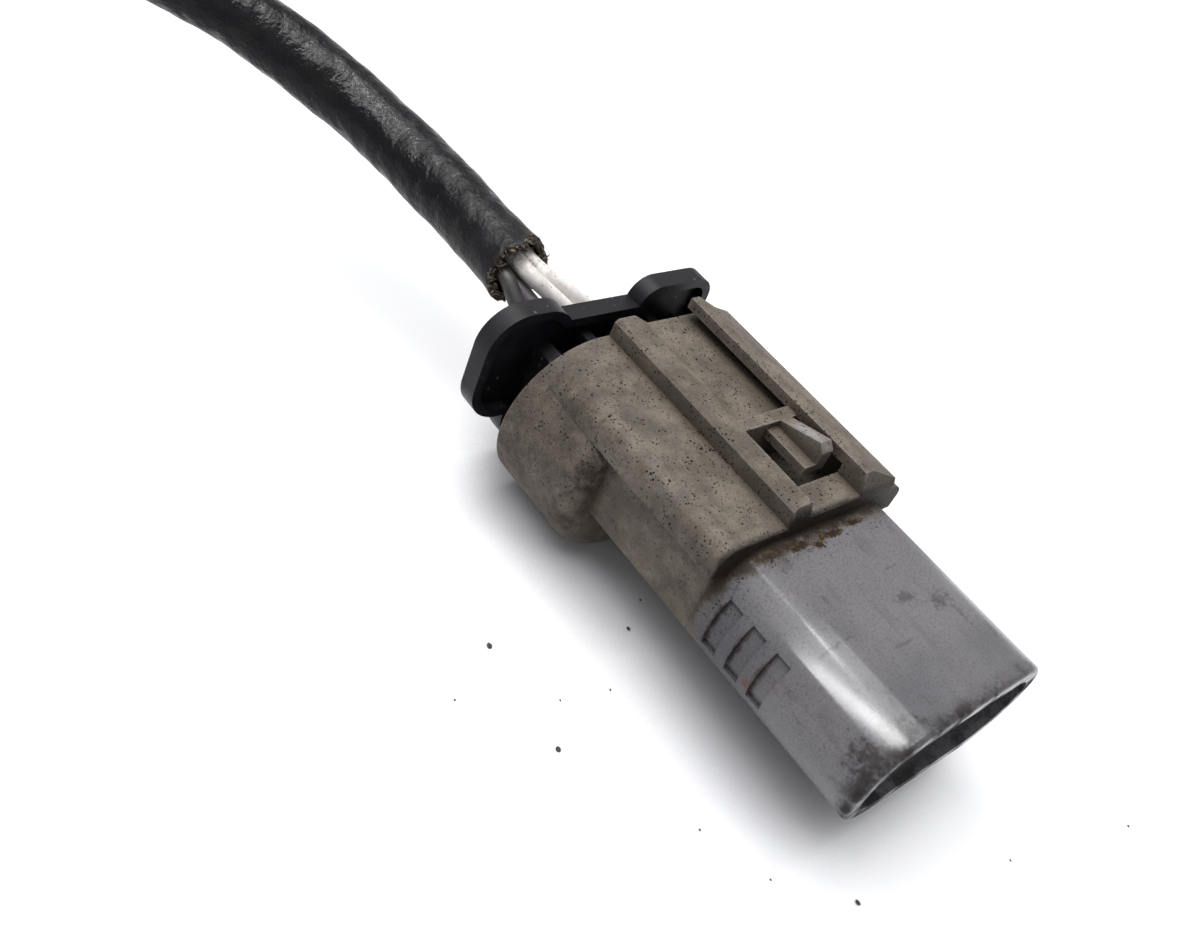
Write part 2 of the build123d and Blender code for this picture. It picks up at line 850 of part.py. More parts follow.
with BuildPart() as front_ceramic_holder:
    with BuildSketch(facing_tip(front_holder_rear)):
        Circle(holder_radius)
    extrude(amount=holder_length)
    cut_element_slot(front_holder_rear, holder_length)
keep(front_ceramic_holder, "front_ceramic_holder")

with BuildPart() as talc_ring:
    with BuildSketch(facing_tip(talc_rear)):
        Circle(holder_radius)
    extrude(amount=talc_length)
    cut_element_slot(talc_rear, talc_length)
keep(talc_ring, "talc_ring")

with BuildPart() as rear_ceramic_holder:
    turn(
        [
            (neck_rear, 0),
            (neck_rear, rear_neck_radius),
            (flange_seat, rear_neck_radius),
            (flange_seat, holder_radius),
            (talc_rear, holder_radius),
            (talc_rear, 0),
        ]
    )
    cut_element_slot(neck_rear, talc_rear - neck_rear)
keep(rear_ceramic_holder, "rear_ceramic_holder")

# The casing: a flanged tube, crimped into a groove near its rear end.
crimp_place = casing_rear + casing_crimp_setback
crimp_front = crimp_place + casing_crimp_width / 2
crimp_rear = crimp_place - casing_crimp_width / 2
casing_bore = casing_radius - casing_wall
vent_middle = (vent_front + vent_rear) / 2
with BuildPart() as upper_casing:
    turn(
        [
            (casing_rear, casing_bore),
            (casing_rear, casing_radius),
            (crimp_rear - casing_crimp_depth, casing_radius),
            (crimp_rear, casing_radius - casing_crimp_depth),
            (crimp_front, casing_radius - casing_crimp_depth),
            (crimp_front + casing_crimp_depth, casing_radius),
            (flange_seat - casing_flange, casing_radius),
            (flange_seat - casing_flange, casing_flange_radius),
            (flange_seat, casing_flange_radius),
            (flange_seat, casing_bore),
            (crimp_front + casing_crimp_depth, casing_bore),
            (crimp_front, casing_bore - casing_crimp_depth),
            (crimp_rear, casing_bore - casing_crimp_depth),
            (crimp_rear - casing_crimp_depth, casing_bore),
        ]
    )
    drill_round(vent_middle, casing_hole_count, casing_hole_radius, 2 * casing_radius)
keep(upper_casing, "upper_casing")

# The insulator has one slot for the element and its four contact springs, and a slit ring of
# spring steel holds it in the casing.
with BuildPart() as contact_insulator:
    with BuildSketch(facing_tip(insulator_rear)):
        Circle(insulator_radius)
        Rectangle(insulator_slot_width, insulator_slot_height, mode=Mode.SUBTRACT)
    extrude(amount=insulator_length)
keep(contact_insulator, "contact_insulator")

ring_rear = (insulator_front + insulator_rear - ring_width) / 2
with BuildPart() as retaining_ring:
    with BuildSketch(facing_tip(ring_rear)):
        Circle(casing_bore - fit)
        Circle(insulator_radius + fit, mode=Mode.SUBTRACT)
        with Locations((0, casing_bore)):
            Rectangle(ring_slit, casing_bore, mode=Mode.SUBTRACT)
    extrude(amount=ring_width)
keep(retaining_ring, "retaining_ring")

# Each contact spring lies along the slot's wall and bows in to press on the element's pad.
contact_margin = insulator_length * contact_margin_share
contact_foot = insulator_length * contact_foot_share
contact_pad = insulator_length * contact_pad_share
contact_rear = insulator_rear + contact_margin
contact_front = insulator_front - contact_margin
contact_middle = (contact_rear + contact_front) / 2
wall_face = insulator_slot_height / 2
pad_face = element_thickness / 2
contact_seats = [
    (side, row) for row in (-1, 1) for side in (-contact_spacing / 2, contact_spacing / 2)
]
for number, (side, row) in enumerate(contact_seats, start=1):
    with BuildPart() as contact_spring:
        with BuildSketch(probe_section.offset(side - contact_width / 2)):
            with BuildLine():
                Polyline(
                    (contact_rear, row * wall_face),
                    (contact_rear + contact_foot, row * wall_face),
                    (contact_middle - contact_pad / 2, row * (pad_face + contact_thickness)),
                    (contact_middle + contact_pad / 2, row * (pad_face + contact_thickness)),
                    (contact_front - contact_foot, row * wall_face),
                    (contact_front, row * wall_face),
                    (contact_front, row * (wall_face - contact_thickness)),
                    (contact_front - contact_foot, row * (wall_face - contact_thickness)),
                    (contact_middle + contact_pad / 2, row * pad_face),
                    (contact_middle - contact_pad / 2, row * pad_face),
                    (contact_rear + contact_foot, row * (wall_face - contact_thickness)),
                    (contact_rear, row * (wall_face - contact_thickness)),
                    close=True,
                )
            make_face()
        extrude(amount=contact_width)
    keep(contact_spring, f"contact_spring_{number}")

# The vent cover is a tube crimped down to the casing at both ends, over a strip of filter.
crimp_bore = casing_radius + fit
vent_bore = vent_radius - vent_wall
with BuildPart() as vent_sleeve:
    turn(
        [
            (vent_rear, crimp_bore),
            (vent_rear, crimp_bore + vent_wall),
            (vent_rear + vent_crimp, vent_radius),
            (vent_front - vent_crimp, vent_radius),
            (vent_front, crimp_bore + vent_wall),
            (vent_front, crimp_bore),
            (vent_front - vent_crimp, vent_bore),
            (vent_rear + vent_crimp, vent_bore),
        ]
    )
    drill_round(vent_middle, vent_hole_count, vent_hole_radius, 2 * vent_radius)
keep(vent_sleeve, "vent_sleeve")

filter_length = vent_length - 2 * vent_crimp - 2 * filter_margin
with BuildPart() as vent_filter:
    with BuildSketch(facing_tip(vent_middle - filter_length / 2)):
        Circle(casing_radius + fit + filter_thickness)
        Circle(casing_radius + fit, mode=Mode.SUBTRACT)
    extrude(amount=filter_length)
keep(vent_filter, "vent_filter")

# The grommet fills the casing's end, follows its crimp and stands out behind it.
plug_radius = casing_bore - fit
with BuildPart() as grommet:
    turn(
        [
            (grommet_rear, 0),
            (grommet_rear, grommet_tail_radius - grommet_tail_chamfer),
            (grommet_rear + grommet_tail_chamfer, grommet_tail_radius),
            (casing_rear, grommet_tail_radius),
            (casing_rear, plug_radius),
            (crimp_rear - casing_crimp_depth, plug_radius),
            (crimp_rear, plug_radius - casing_crimp_depth),
            (crimp_front, plug_radius - casing_crimp_depth),
            (crimp_front + casing_crimp_depth, plug_radius),
            (casing_rear + grommet_depth, plug_radius),
            (casing_rear + grommet_depth, 0),
        ]
    )
keep(grommet, "grommet")
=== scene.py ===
# %% [markdown]
# This notebook dresses the imported solids of an oxygen sensor so that they look like the real thing.
# The solids come in already placed, in metres, so each step only has to decide what a surface is
# made of, or swap a plain solid for one with more shape.

# %% Load the imported solids
import json
import math

import bmesh
import bpy
import numpy as np
from mathutils import Matrix, Vector

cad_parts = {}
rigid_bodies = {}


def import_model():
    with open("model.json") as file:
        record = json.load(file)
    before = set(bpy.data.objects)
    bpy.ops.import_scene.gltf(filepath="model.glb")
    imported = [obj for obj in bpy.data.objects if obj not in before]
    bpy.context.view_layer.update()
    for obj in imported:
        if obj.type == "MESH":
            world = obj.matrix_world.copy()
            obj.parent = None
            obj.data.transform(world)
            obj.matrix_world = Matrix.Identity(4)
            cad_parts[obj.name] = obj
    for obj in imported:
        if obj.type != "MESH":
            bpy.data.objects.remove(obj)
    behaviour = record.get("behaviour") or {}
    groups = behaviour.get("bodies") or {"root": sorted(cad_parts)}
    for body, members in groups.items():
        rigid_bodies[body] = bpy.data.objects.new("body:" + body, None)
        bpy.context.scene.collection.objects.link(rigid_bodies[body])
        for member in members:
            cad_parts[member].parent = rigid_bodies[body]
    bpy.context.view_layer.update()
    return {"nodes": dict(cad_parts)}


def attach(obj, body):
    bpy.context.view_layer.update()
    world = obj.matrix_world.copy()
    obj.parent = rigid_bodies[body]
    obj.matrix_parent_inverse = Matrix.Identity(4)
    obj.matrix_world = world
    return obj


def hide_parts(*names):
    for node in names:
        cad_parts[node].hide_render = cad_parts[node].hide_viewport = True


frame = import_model()
nodes = frame["nodes"]

# %% [markdown]
# The camera comes before any piece, because every later choice is judged through it. Its place was
# worked out from straight edges of the connector: three directions that are square to one another
# fix how a camera is turned, and the connector's length fixes how far away it is. A camera's
# matrix has its right, up and backward directions as columns.

# %% Camera at the picture's angle
view_right = Vector((0.74662, -0.58032, 0.32523))
view_down = Vector((-0.23038, -0.68420, -0.69195))
view_forward = Vector((0.62408, 0.44170, -0.64453))
camera_data = bpy.data.cameras.new("camera")
camera_data.sensor_width = 36.0
camera_data.lens = 34.9
camera_data.clip_start = 0.005
camera = bpy.data.objects.new("camera", camera_data)
turn = Matrix((view_right, -view_down, -view_forward)).transposed().to_4x4()
camera.matrix_world = Matrix.Translation((-0.08596, -0.01198, 0.07668)) @ turn
bpy.context.scene.collection.objects.link(camera)
bpy.context.scene.camera = camera
print("camera height above the origin in metres:", round(camera.location.z, 4))

# %% [markdown]
# Every finish below is a small graph of nodes. Short helpers keep those graphs readable: one makes
# a Math node, one a smooth ramp, one a noise and one lays a colour over another. Each works in the
# node tree of the outputs it is given.

# %% Node helpers
def new_group(name, inputs, outputs):
    """An empty shader node group with named sockets; sockets are (name, kind, default) rows."""
    group = bpy.data.node_groups.new(name, "ShaderNodeTree")
    for label, kind, default in inputs:
        socket = group.interface.new_socket(label, in_out="INPUT", socket_type="NodeSocket" + kind)
        socket.default_value = default
    for label, kind in outputs:
        group.interface.new_socket(label, in_out="OUTPUT", socket_type="NodeSocket" + kind)
    given = group.nodes.new("NodeGroupInput").outputs
    return group, given, group.nodes.new("NodeGroupOutput")


def tree_of(*values):
    """The node tree that the first output among some values belongs to."""
    return next(value.id_data for value in values if isinstance(value, bpy.types.NodeSocket))


def feed(value, socket):
    """Joins an output to a socket, or sets the socket to a plain number or colour."""
    if isinstance(value, bpy.types.NodeSocket):
        socket.id_data.links.new(value, socket)
    else:
        socket.default_value = value


def fill(node, *in_order, **by_name):
    """Feeds a node's inputs in their order, or by name with an underscore for a space."""
    for value, socket in zip(in_order, node.inputs):
        feed(value, socket)
    for name, value in by_name.items():
        feed(value, node.inputs[name.replace("_", " ")])
    return node


def add_node(tree, kind, *in_order, **by_name):
    """Adds a shader node of some kind to a tree and fills its inputs."""
    return fill(tree.nodes.new("ShaderNode" + kind), *in_order, **by_name)


def calc(operation, first, second=0.0):
    """One Math node with its operation and one or two numbers or outputs."""
    node = add_node(tree_of(first, second), "Math", first, second)
    node.operation = operation
    return node.outputs[0]


def times(first, second):
    """The product of two numbers or outputs, which narrows one mask by another."""
    return calc("MULTIPLY", first, second)


def vector_calc(operation, first, second=(0, 0, 0)):
    """One Vector Math node with one or two vectors; a length or a dot product is a number."""
    node = add_node(tree_of(first, second), "VectorMath", first, second)
    node.operation = operation
    return node.outputs["Value" if operation in ("LENGTH", "DOT_PRODUCT") else "Vector"]


def parts_of(vector):
    """The three parts of a vector."""
    return add_node(tree_of(vector), "SeparateXYZ", vector).outputs


def spread(value, low, high, to_low=0.0, to_high=1.0):
    """A smooth ramp: to_low up to the value low, to_high from the value high."""
    node = add_node(tree_of(value), "MapRange", value, low, high, to_low, to_high)
    node.interpolation_type = "SMOOTHSTEP"
    return node.outputs[0]


def noise(vector, scale, detail=3.0, roughness=0.55):
    """A Noise texture's plain value, read at a vector; scale is in features a metre."""
    node = add_node(tree_of(vector), "TexNoise", Vector=vector, Scale=scale)
    return fill(node, Detail=detail, Roughness=roughness).outputs["Fac"]


def blend_colour(mask, under, over):
    """Lays one colour over another where a mask is white."""
    node = add_node(tree_of(mask), "Mix", mask)
    node.data_type = "RGBA"
    feed(under, node.inputs[6])
    feed(over, node.inputs[7])
    return node.outputs[2]


def lay(under, mask, strength, over):
    """Lays a colour over another where a mask is white, at most at the given strength."""
    return blend_colour(times(mask, strength), under, over)


def openness(tree, distance, samples=8, own=True, inside=False):
    """How open a place is, from 0 in a corner to 1 in the open, looking a distance in metres.

    With own only the piece itself gives shelter. With inside the rays run into the piece, so that
    its outer edges are what count as corners.
    """
    node = add_node(tree, "AmbientOcclusion", Distance=distance)
    node.samples = samples
    node.only_local = own
    node.inside = inside
    return node.outputs["AO"]


def place_of(tree):
    """Object coordinates, which are the row's own metres because every piece sits at the origin."""
    return add_node(tree, "TexCoord").outputs["Object"]


def stretched(vector, scale, turn=(0, 0, 0)):
    """A vector turned and then stretched, for streaks that run one way."""
    node = add_node(tree_of(vector), "Mapping", Vector=vector, Rotation=turn, Scale=scale)
    return node.outputs[0]


def rgb(red, green, blue):
    """A linear colour from the 0 to 255 numbers of an ordinary picture."""
    channels = np.array((red, green, blue)) / 255
    linear = np.where(channels <= 0.04045, channels / 12.92, ((channels + 0.055) / 1.055) ** 2.4)
    return (*(float(channel) for channel in linear), 1.0)


print("a mid grey in linear light:", [round(channel, 3) for channel in rgb(128, 128, 128)])

# %% [markdown]
# The floor is where the collar rests. A photographer's sweep is pure white where the lamps reach it
# and keeps only the object's shadow. A little glow that the camera and reflections see lifts the
# floor to white, and it puts no more light on the object's matt surfaces. Close to the object the
# glow is held back, which paints a darker contact shade round it.

# %% Floor and backdrop
floor_z = -0.01245


def new_material(name):
    """A material with an empty node tree, its Principled shader and its output already joined."""
    material = bpy.data.materials.new(name)
    material.use_nodes = True
    tree = material.node_tree
    tree.nodes.clear()
    shader = add_node(tree, "BsdfPrincipled")
    add_node(tree, "OutputMaterial", Surface=shader.outputs["BSDF"])
    return material, tree, shader


def mesh_piece(name, points, faces):
    """A mesh object at the origin from an array of points and a list of faces."""
    mesh = bpy.data.meshes.new(name)
    mesh.from_pydata(np.asarray(points, float).tolist(), [], faces)
    mesh.validate()
    mesh.update()
    piece = bpy.data.objects.new(name, mesh)
    bpy.context.scene.collection.objects.link(piece)
    return piece


def use_material(piece, material):
    """Gives a piece one material for all its faces."""
    piece.data.materials.clear()
    piece.data.materials.append(material)


def seen_rays(tree):
    """One for a ray from the camera, a mirror-like bounce or clear plastic, and zero for the rest."""
    ray = add_node(tree, "LightPath").outputs
    found = calc("MAXIMUM", ray["Is Camera Ray"], ray["Is Glossy Ray"])
    return calc("MAXIMUM", found, ray["Is Transmission Ray"])


floor_half = 6.0
corners = [(-1, -1), (1, -1), (1, 1), (-1, 1)]
floor = mesh_piece(
    "floor", [(floor_half * x, floor_half * y, floor_z) for x, y in corners], [(0, 1, 2, 3)]
)
floor_material, tree, shader = new_material("white_sweep")
# Painted shade: close to the object the floor gets less glow, so its contact shadow is darker than the
# lamps alone make it.
near = openness(tree, 0.014, own=False)
far = vector_calc("LENGTH", place_of(tree))
glow_held_back_for_painted_shade = spread(near, 0.52, 0.82, 0.0, 0.41)
glow_held_back_for_painted_shade = calc("ADD", glow_held_back_for_painted_shade, spread(far, 0.25, 1.0, 0.0, 0.7))
glow = times(seen_rays(tree), glow_held_back_for_painted_shade)
fill(shader, Base_Color=(0.6, 0.6, 0.62, 1), Roughness=0.85)
fill(shader, Emission_Color=(1, 1, 1, 1), Emission_Strength=glow)
use_material(floor, floor_material)

world = bpy.data.worlds.new("studio")
bpy.context.scene.world = world
world.use_nodes = True
tree = world.node_tree
tree.nodes.clear()
seen = add_node(tree, "Background", Strength=1.0)
lights = add_node(tree, "Background", Color=(0.93, 0.95, 1.0, 1), Strength=0.36)
mix = add_node(tree, "MixShader", seen_rays(tree), lights.outputs[0], seen.outputs[0])
add_node(tree, "OutputWorld", Surface=mix.outputs[0])
bpy.context.scene.view_settings.view_transform = "Standard"
print("floor at", floor_z)

# %% [markdown]
# The soft shadows on the floor show where the light comes from: nearly overhead, a little behind
# the connector. A broad panel there gives most of the light, and a weak panel behind the camera
# keeps the near faces from going black. Two more lamps are only seen in reflections and light
# nothing: a small one draws the broken streak on the sleeve, and a long bar to the left makes the
# white oblong on the glossy shoulder of the hood.

# %% Lamps
target = Vector((0, 0.03, 0))


def panel(name, place, width, height, power):
    """A square or oblong lamp at a place, turned to face the connector."""
    data = bpy.data.lights.new(name, "AREA")
    data.shape = "RECTANGLE"
    data.size = width
    data.size_y = height
    data.energy = power
    lamp = bpy.data.objects.new(name, data)
    lamp.location = place
    lamp.rotation_euler = (target - lamp.location).to_track_quat("-Z", "Y").to_euler()
    bpy.context.scene.collection.objects.link(lamp)
    return lamp


panel("main_panel", Vector((-0.07, 0.19, 0.64)), 0.72, 0.72, 6.8)
panel("fill_panel", Vector((-0.55, -0.45, 0.45)), 0.5, 0.5, 0.35)
streak_lamp = panel("streak_lamp", Vector((-0.04, 0.17, 0.52)), 0.06, 0.06, 0.85)
bar_lamp = panel("bar_lamp", Vector((-0.255, 0.092, 0.49)), 0.045, 0.46, 1.8)
for lamp in (streak_lamp, bar_lamp):
    lamp.visible_diffuse = False
print("lamps:", [lamp.name for lamp in bpy.data.lights])

# %% [markdown]
# A few crumbs of dirt lie on the floor round the connector. Each is an uneven lump of a few faces,
# and one mesh holds them all.

# %% Crumbs on the floor
crumb_places = [
    (-26.5, 33.4, 0.28), (-11.2, 29.2, 0.2), (-27.0, 20.7, 0.24), (-10.1, -5.4, 0.22),
    (-7.3, 31.8, 0.12), (26.8, -15.6, 0.12), (-23.5, 25.1, 0.09), (-19.5, 7.7, 0.1),
    (-33.1, 29.5, 0.1), (-17.9, 23.9, 0.1), (-16.5, 0.6, 0.09), (9.2, -10.8, 0.1),
]
crumb_rng = np.random.default_rng(21)
crumb_points = []
crumb_faces = []
for place_x, place_y, size in crumb_places:
    lump = bmesh.new()
    bmesh.ops.create_icosphere(lump, subdivisions=2, radius=size / 1000)
    middle = np.array((place_x / 1000, place_y / 1000, floor_z + size / 1600))
    lump_points = np.array([tuple(vertex.co) for vertex in lump.verts])
    lump_points *= crumb_rng.uniform(0.7, 1.15, (len(lump_points), 1))
    first_point = sum(len(points) for points in crumb_points)
    crumb_faces += [[vertex.index + first_point for vertex in face.verts] for face in lump.faces]
    crumb_points.append(middle + lump_points * (1.0, 1.3, 0.7))
    lump.free()
crumb_piece = mesh_piece("floor_crumbs", np.concatenate(crumb_points), crumb_faces)
crumb_material, tree, shader = new_material("dirt_crumb")
fill(shader, Base_Color=rgb(58, 50, 46), Roughness=0.8)
use_material(crumb_piece, crumb_material)
print("crumbs:", len(crumb_places))

# %% [markdown]
# Several finishes share the same three effects: small scattered specks, soft stains in chosen
# places, and fine scratches. Each is built once as a node group with named sockets, so that every
# material can use it with its own numbers.

# %% Shared effects
# Specks: cells of a Voronoi texture. A cell is kept if its own random number is below the amount,
# and it is shrunk to a dot of random size round its point.
specks, given, result = new_group(
    "scattered_specks",
    [("Vector", "Vector", (0, 0, 0)), ("Scale", "Float", 900.0), ("Amount", "Float", 0.3),
     ("Size", "Float", 0.25)],
    [("Mask", "Float")],
)
cells = add_node(specks, "TexVoronoi", Vector=given["Vector"], Scale=given["Scale"])
split = add_node(specks, "SeparateColor", cells.outputs["Color"])
chosen = calc("LESS_THAN", split.outputs[0], given["Amount"])
reach = times(given["Size"], split.outputs[1])
dot = calc("LESS_THAN", cells.outputs["Distance"], reach)
fill(result, Mask=times(dot, chosen))

# Stain: one at a chosen place, fading to nothing at its reach, with an edge that noise breaks up.
stain, given, result = new_group(
    "stain_at_a_place",
    [("Vector", "Vector", (0, 0, 0)), ("Place", "Vector", (0, 0, 0)),
     ("Reach", "Vector", (0.01, 0.01, 0.01)), ("Ragged", "Float", 0.8), ("Grain", "Float", 500.0)],
    [("Mask", "Float")],
)
offset = vector_calc("SUBTRACT", given["Vector"], given["Place"])
share = vector_calc("DIVIDE", offset, given["Reach"])
length = vector_calc("LENGTH", share)
rough_edge = noise(given["Vector"], given["Grain"], 5.0, 0.65)
rough_edge = times(calc("SUBTRACT", rough_edge, 0.5), given["Ragged"])
ragged = calc("ADD", length, times(rough_edge, 3.0))
fill(result, Mask=spread(ragged, 0.15, 1.15, 1.0, 0.0))

# Scratches: a very long noise, kept only near its middle value, so that it leaves thin lines.
scratches, given, result = new_group(
    "fine_scratches",
    [("Vector", "Vector", (0, 0, 0)), ("Scale", "Float", 400.0), ("Width", "Float", 0.012)],
    [("Mask", "Float")],
)
line = noise(given["Vector"], given["Scale"], 2.0, 0.5)
line = calc("ABSOLUTE", calc("SUBTRACT", line, 0.5))
line = calc("LESS_THAN", line, given["Width"])
patches = spread(noise(given["Vector"], 160.0), 0.52, 0.62)
fill(result, Mask=times(line, patches))


def use_group(group, **values):
    """Places a node group in a material and sets its inputs by name."""
    node = add_node(tree_of(*values.values()), "Group")
    node.node_tree = group
    return fill(node, **values).outputs[0]


def stain_mask(vector, place, reach, ragged, grain):
    """The mask of one stain; its place and reach are in millimetres."""
    return use_group(
        stain, Vector=vector, Place=tuple(value / 1000 for value in place),
        Reach=tuple(value / 1000 for value in reach), Ragged=ragged, Grain=grain,
    )


def cover(shader, colour, roughness, height, depth, strength):
    """Gives a shader its colour, its roughness and a bump from a height, depth metres deep."""
    bump = add_node(tree_of(height), "Bump", Height=height, Distance=depth, Strength=strength)
    fill(shader, Base_Color=colour, Roughness=roughness, Normal=bump.outputs[0])


print("shared groups:", [group.name for group in bpy.data.node_groups])

# %% [markdown]
# The lead is a braid of glass fibre with a smooth black coat, cut short of the connector so that it
# frays. It is a free cord, so it gets one open spline whose control points are the route of the
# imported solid. The skin is a grid carried along that spline: one direction follows the length and
# the other goes round. The grid keeps its own UV map in metres, so the weave can follow the bends.

# %% The lead's line
route_mm = [
    (-5.5, 67.0, 4.9), (-6.2, 85.1, 5.7), (-12.8, 101.5, 9.4), (-23.7, 113.8, 14.1),
    (-36.5, 121.5, 16.7), (-60.1, 128.2, 16.8), (-100.0, 123.0, 4.7), (-121.5, 105.0, -0.9),
    (-131.5, 78.0, -5.9), (-133.0, 51.262, -8.237), (-133.0, 37.354, -6.636),
]
route = np.array(route_mm[::-1]) / 1000
line_data = bpy.data.curves.new("lead_line", "CURVE")
line_data.dimensions = "3D"
spline = line_data.splines.new("NURBS")
spline.points.add(len(route) - 1)
spline.points.foreach_set("co", np.c_[route, np.ones(len(route))].ravel())
spline.order_u = 3
spline.use_endpoint_u = True
spline.resolution_u = 32
line_object = bpy.data.objects.new("lead_line", line_data)
line_mesh = bpy.data.meshes.new_from_object(line_object)
line_points = np.empty(len(line_mesh.vertices) * 3)
line_mesh.vertices.foreach_get("co", line_points)
line_points = line_points.reshape(-1, 3)
bpy.data.objects.remove(line_object)
bpy.data.meshes.remove(line_mesh)
steps = np.linalg.norm(np.diff(line_points, axis=0), axis=1)
lead_length = float(steps.sum())
print("points on the line:", len(line_points), "length in metres:", round(lead_length, 4))

# %% [markdown]
# Everything on the lead is placed from its line, so the line needs a sense of direction at every
# place: ahead, sideways and up. Sideways is kept level, because the lead lies on a floor, and so the
# directions never spin. A grid of points carried along it becomes quads by one small rule.

# %% The line's own directions
def along(points, spacing):
    """Evenly spaced places on a line, with the unit direction, side and up at each of them.

    Side is the level direction square to the line, and up completes the right-handed set.
    """
    gaps = np.linalg.norm(np.diff(points, axis=0), axis=1)
    run = np.r_[0, np.cumsum(gaps)]
    count = max(2, int(round(run[-1] / spacing)) + 1)
    wanted = np.linspace(0, run[-1], count)
    places = np.stack([np.interp(wanted, run, points[:, axis]) for axis in range(3)], axis=1)
    ahead = np.gradient(places, axis=0)
    ahead /= np.linalg.norm(ahead, axis=1, keepdims=True)
    side = np.cross(ahead, (0, 0, 1))
    side /= np.linalg.norm(side, axis=1, keepdims=True)
    return wanted, places, ahead, side, np.cross(side, ahead)


def grid_faces(rows, columns):
    """Quads of a grid whose points run row by row; the last column joins the first."""
    across = np.arange(columns)
    first = np.arange(rows - 1)[:, None] * columns + across
    right = (across + 1) % columns - across
    quads = np.stack([first, first + right, first + right + columns, first + columns], axis=-1)
    return quads.reshape(-1, 4).tolist()


def add_grid_map(piece, along_values, around_values):
    """A UV map from two arrays with one value for each point; the closing column runs on by a turn."""
    mesh = piece.data
    corner_points = np.empty(len(mesh.loops), int)
    mesh.loops.foreach_get("vertex_index", corner_points)
    around = around_values[corner_points].reshape(-1, 4)
    wrap = (around.max(1, keepdims=True) - around > around_values.max() / 2)
    around = around + wrap * (around_values.max() + np.diff(np.unique(around_values))[0])
    values = np.stack([along_values[corner_points], around.ravel()], axis=1)
    layer = mesh.uv_layers.new(name="along_and_round")
    layer.data.foreach_set("uv", values.ravel())


def smooth(piece):
    """Shades every face of a piece smooth."""
    piece.data.polygons.foreach_set("use_smooth", np.ones(len(piece.data.polygons), bool))


def close_ends(piece):
    """Closes each open rim of a piece with one face and turns every normal outward."""
    shape = bmesh.new()
    shape.from_mesh(piece.data)
    rims = [edge for edge in shape.edges if edge.is_boundary]
    bmesh.ops.holes_fill(shape, edges=rims, sides=0)
    bmesh.ops.recalc_face_normals(shape, faces=shape.faces)
    shape.to_mesh(piece.data)
    shape.free()
    piece.data.update()


# %% [markdown]
# The cut end isn't straight. Seen from the camera the near wall was cut back by a few millimetres
# and a lobe hangs on at each side, so the rim's place along the lead is a sum of slow waves round
# it. The same waves fade out up the lead. Its wall is under a millimetre thick and turns in at the
# rim, so the dark inside shows round the wires.

# %% The sleeve's skin
sleeve_radius = 0.0041
sleeve_wall = 0.00075
around_count = 120
row_spacing = 0.0007
rim_fade = 0.004
dip_depth, dip_angle, dip_width = 0.0013, 2.15, 0.75
rim_waves = ((0.00035, 3, 0.4), (0.00022, 7, 1.9), (0.00012, 17, 0.0))
lump_waves = ((0.00006, 2, 310, 0.0), (0.00005, 3, -720, 1.0), (0.00003, 5, 1650, 2.0))
rng = np.random.default_rng(7)


def rim_setback(angle):
    """How far the rim stands back up the lead at an angle round it, in metres.

    One bell-shaped dip faces the camera, and each wave adds height x sine of (waves round the
    rim x angle + shift).
    """
    from_dip = (angle - dip_angle + np.pi) % (2 * np.pi) - np.pi
    back = dip_depth * np.exp(-((from_dip / dip_width) ** 2)) + 0.0001
    for height, waves, shift in rim_waves:
        back = back + height * np.sin(waves * angle + shift)
    return back


def lead_skin():
    """The sleeve's outer wall, its rim and five millimetres of its inner wall, as one grid.

    A point is the line's place at its row plus the radius times (side cosine + up sine). The
    radius has slow lumps, each height x sine of (turns x angle + place x rate + shift), and
    swells by a tenth of a millimetre at the rim. The last rows run back inside the outer wall at
    the inner radius.
    """
    run, places, ahead, side, up = along(line_points, row_spacing)
    angle = np.arange(around_count) / around_count * 2 * np.pi
    from_cut = run[-1] - run
    inner_rows = np.array([0.0, 0.0004, 0.0012, 0.0025, 0.0045])
    depth = np.r_[from_cut, inner_rows]
    place_at = np.r_[run, run[-1] - inner_rows]
    inside = np.r_[np.zeros(len(run)), np.ones(len(inner_rows))]
    fade = np.exp(-depth / rim_fade)[:, None]
    back = rim_setback(angle)[None, :] * fade
    where = place_at[:, None] - back
    frame_at = [
        np.stack([np.interp(where, run, table[:, axis]) for axis in range(3)], axis=-1)
        for table in (places, side, up)
    ]
    lumps = sum(
        height * np.sin(turns * angle[None, :] + where * rate + shift)
        for height, turns, rate, shift in lump_waves
    )
    swell = 0.00012 * np.exp(-depth / 0.0012)[:, None]
    radius = sleeve_radius - 0.00005 + lumps + swell - inside[:, None] * sleeve_wall
    radius = radius * (1 - 0.012 * inside[:, None])
    turnings = np.cos(angle)[None, :, None], np.sin(angle)[None, :, None]
    points = frame_at[0] + radius[..., None] * (frame_at[1] * turnings[0] + frame_at[2] * turnings[1])
    rows = len(place_at)
    return points.reshape(-1, 3), rows, np.repeat(place_at, around_count), np.tile(
        angle * sleeve_radius, rows
    )


skin_points, skin_rows, skin_along, skin_around = lead_skin()
skin_faces = grid_faces(skin_rows, around_count)
lead = mesh_piece("lead_braid", skin_points, skin_faces)
add_grid_map(lead, skin_along, skin_around)
close_ends(lead)
smooth(lead)
print("lead skin:", len(lead.data.polygons), "faces")

# %% [markdown]
# Where the braid is cut, its coated yarns end in short stubs that curl into small knots, with a few
# hairs between them. Each stub is a short horn rooted on the rim. A single mesh holds them all:
# the same small table of points is repeated for every stub and bent by that stub's own numbers.

# %% Frayed yarns at the cut end
knot_count = 190
hair_count = 150
stub_rows = 7
stub_sides = 5


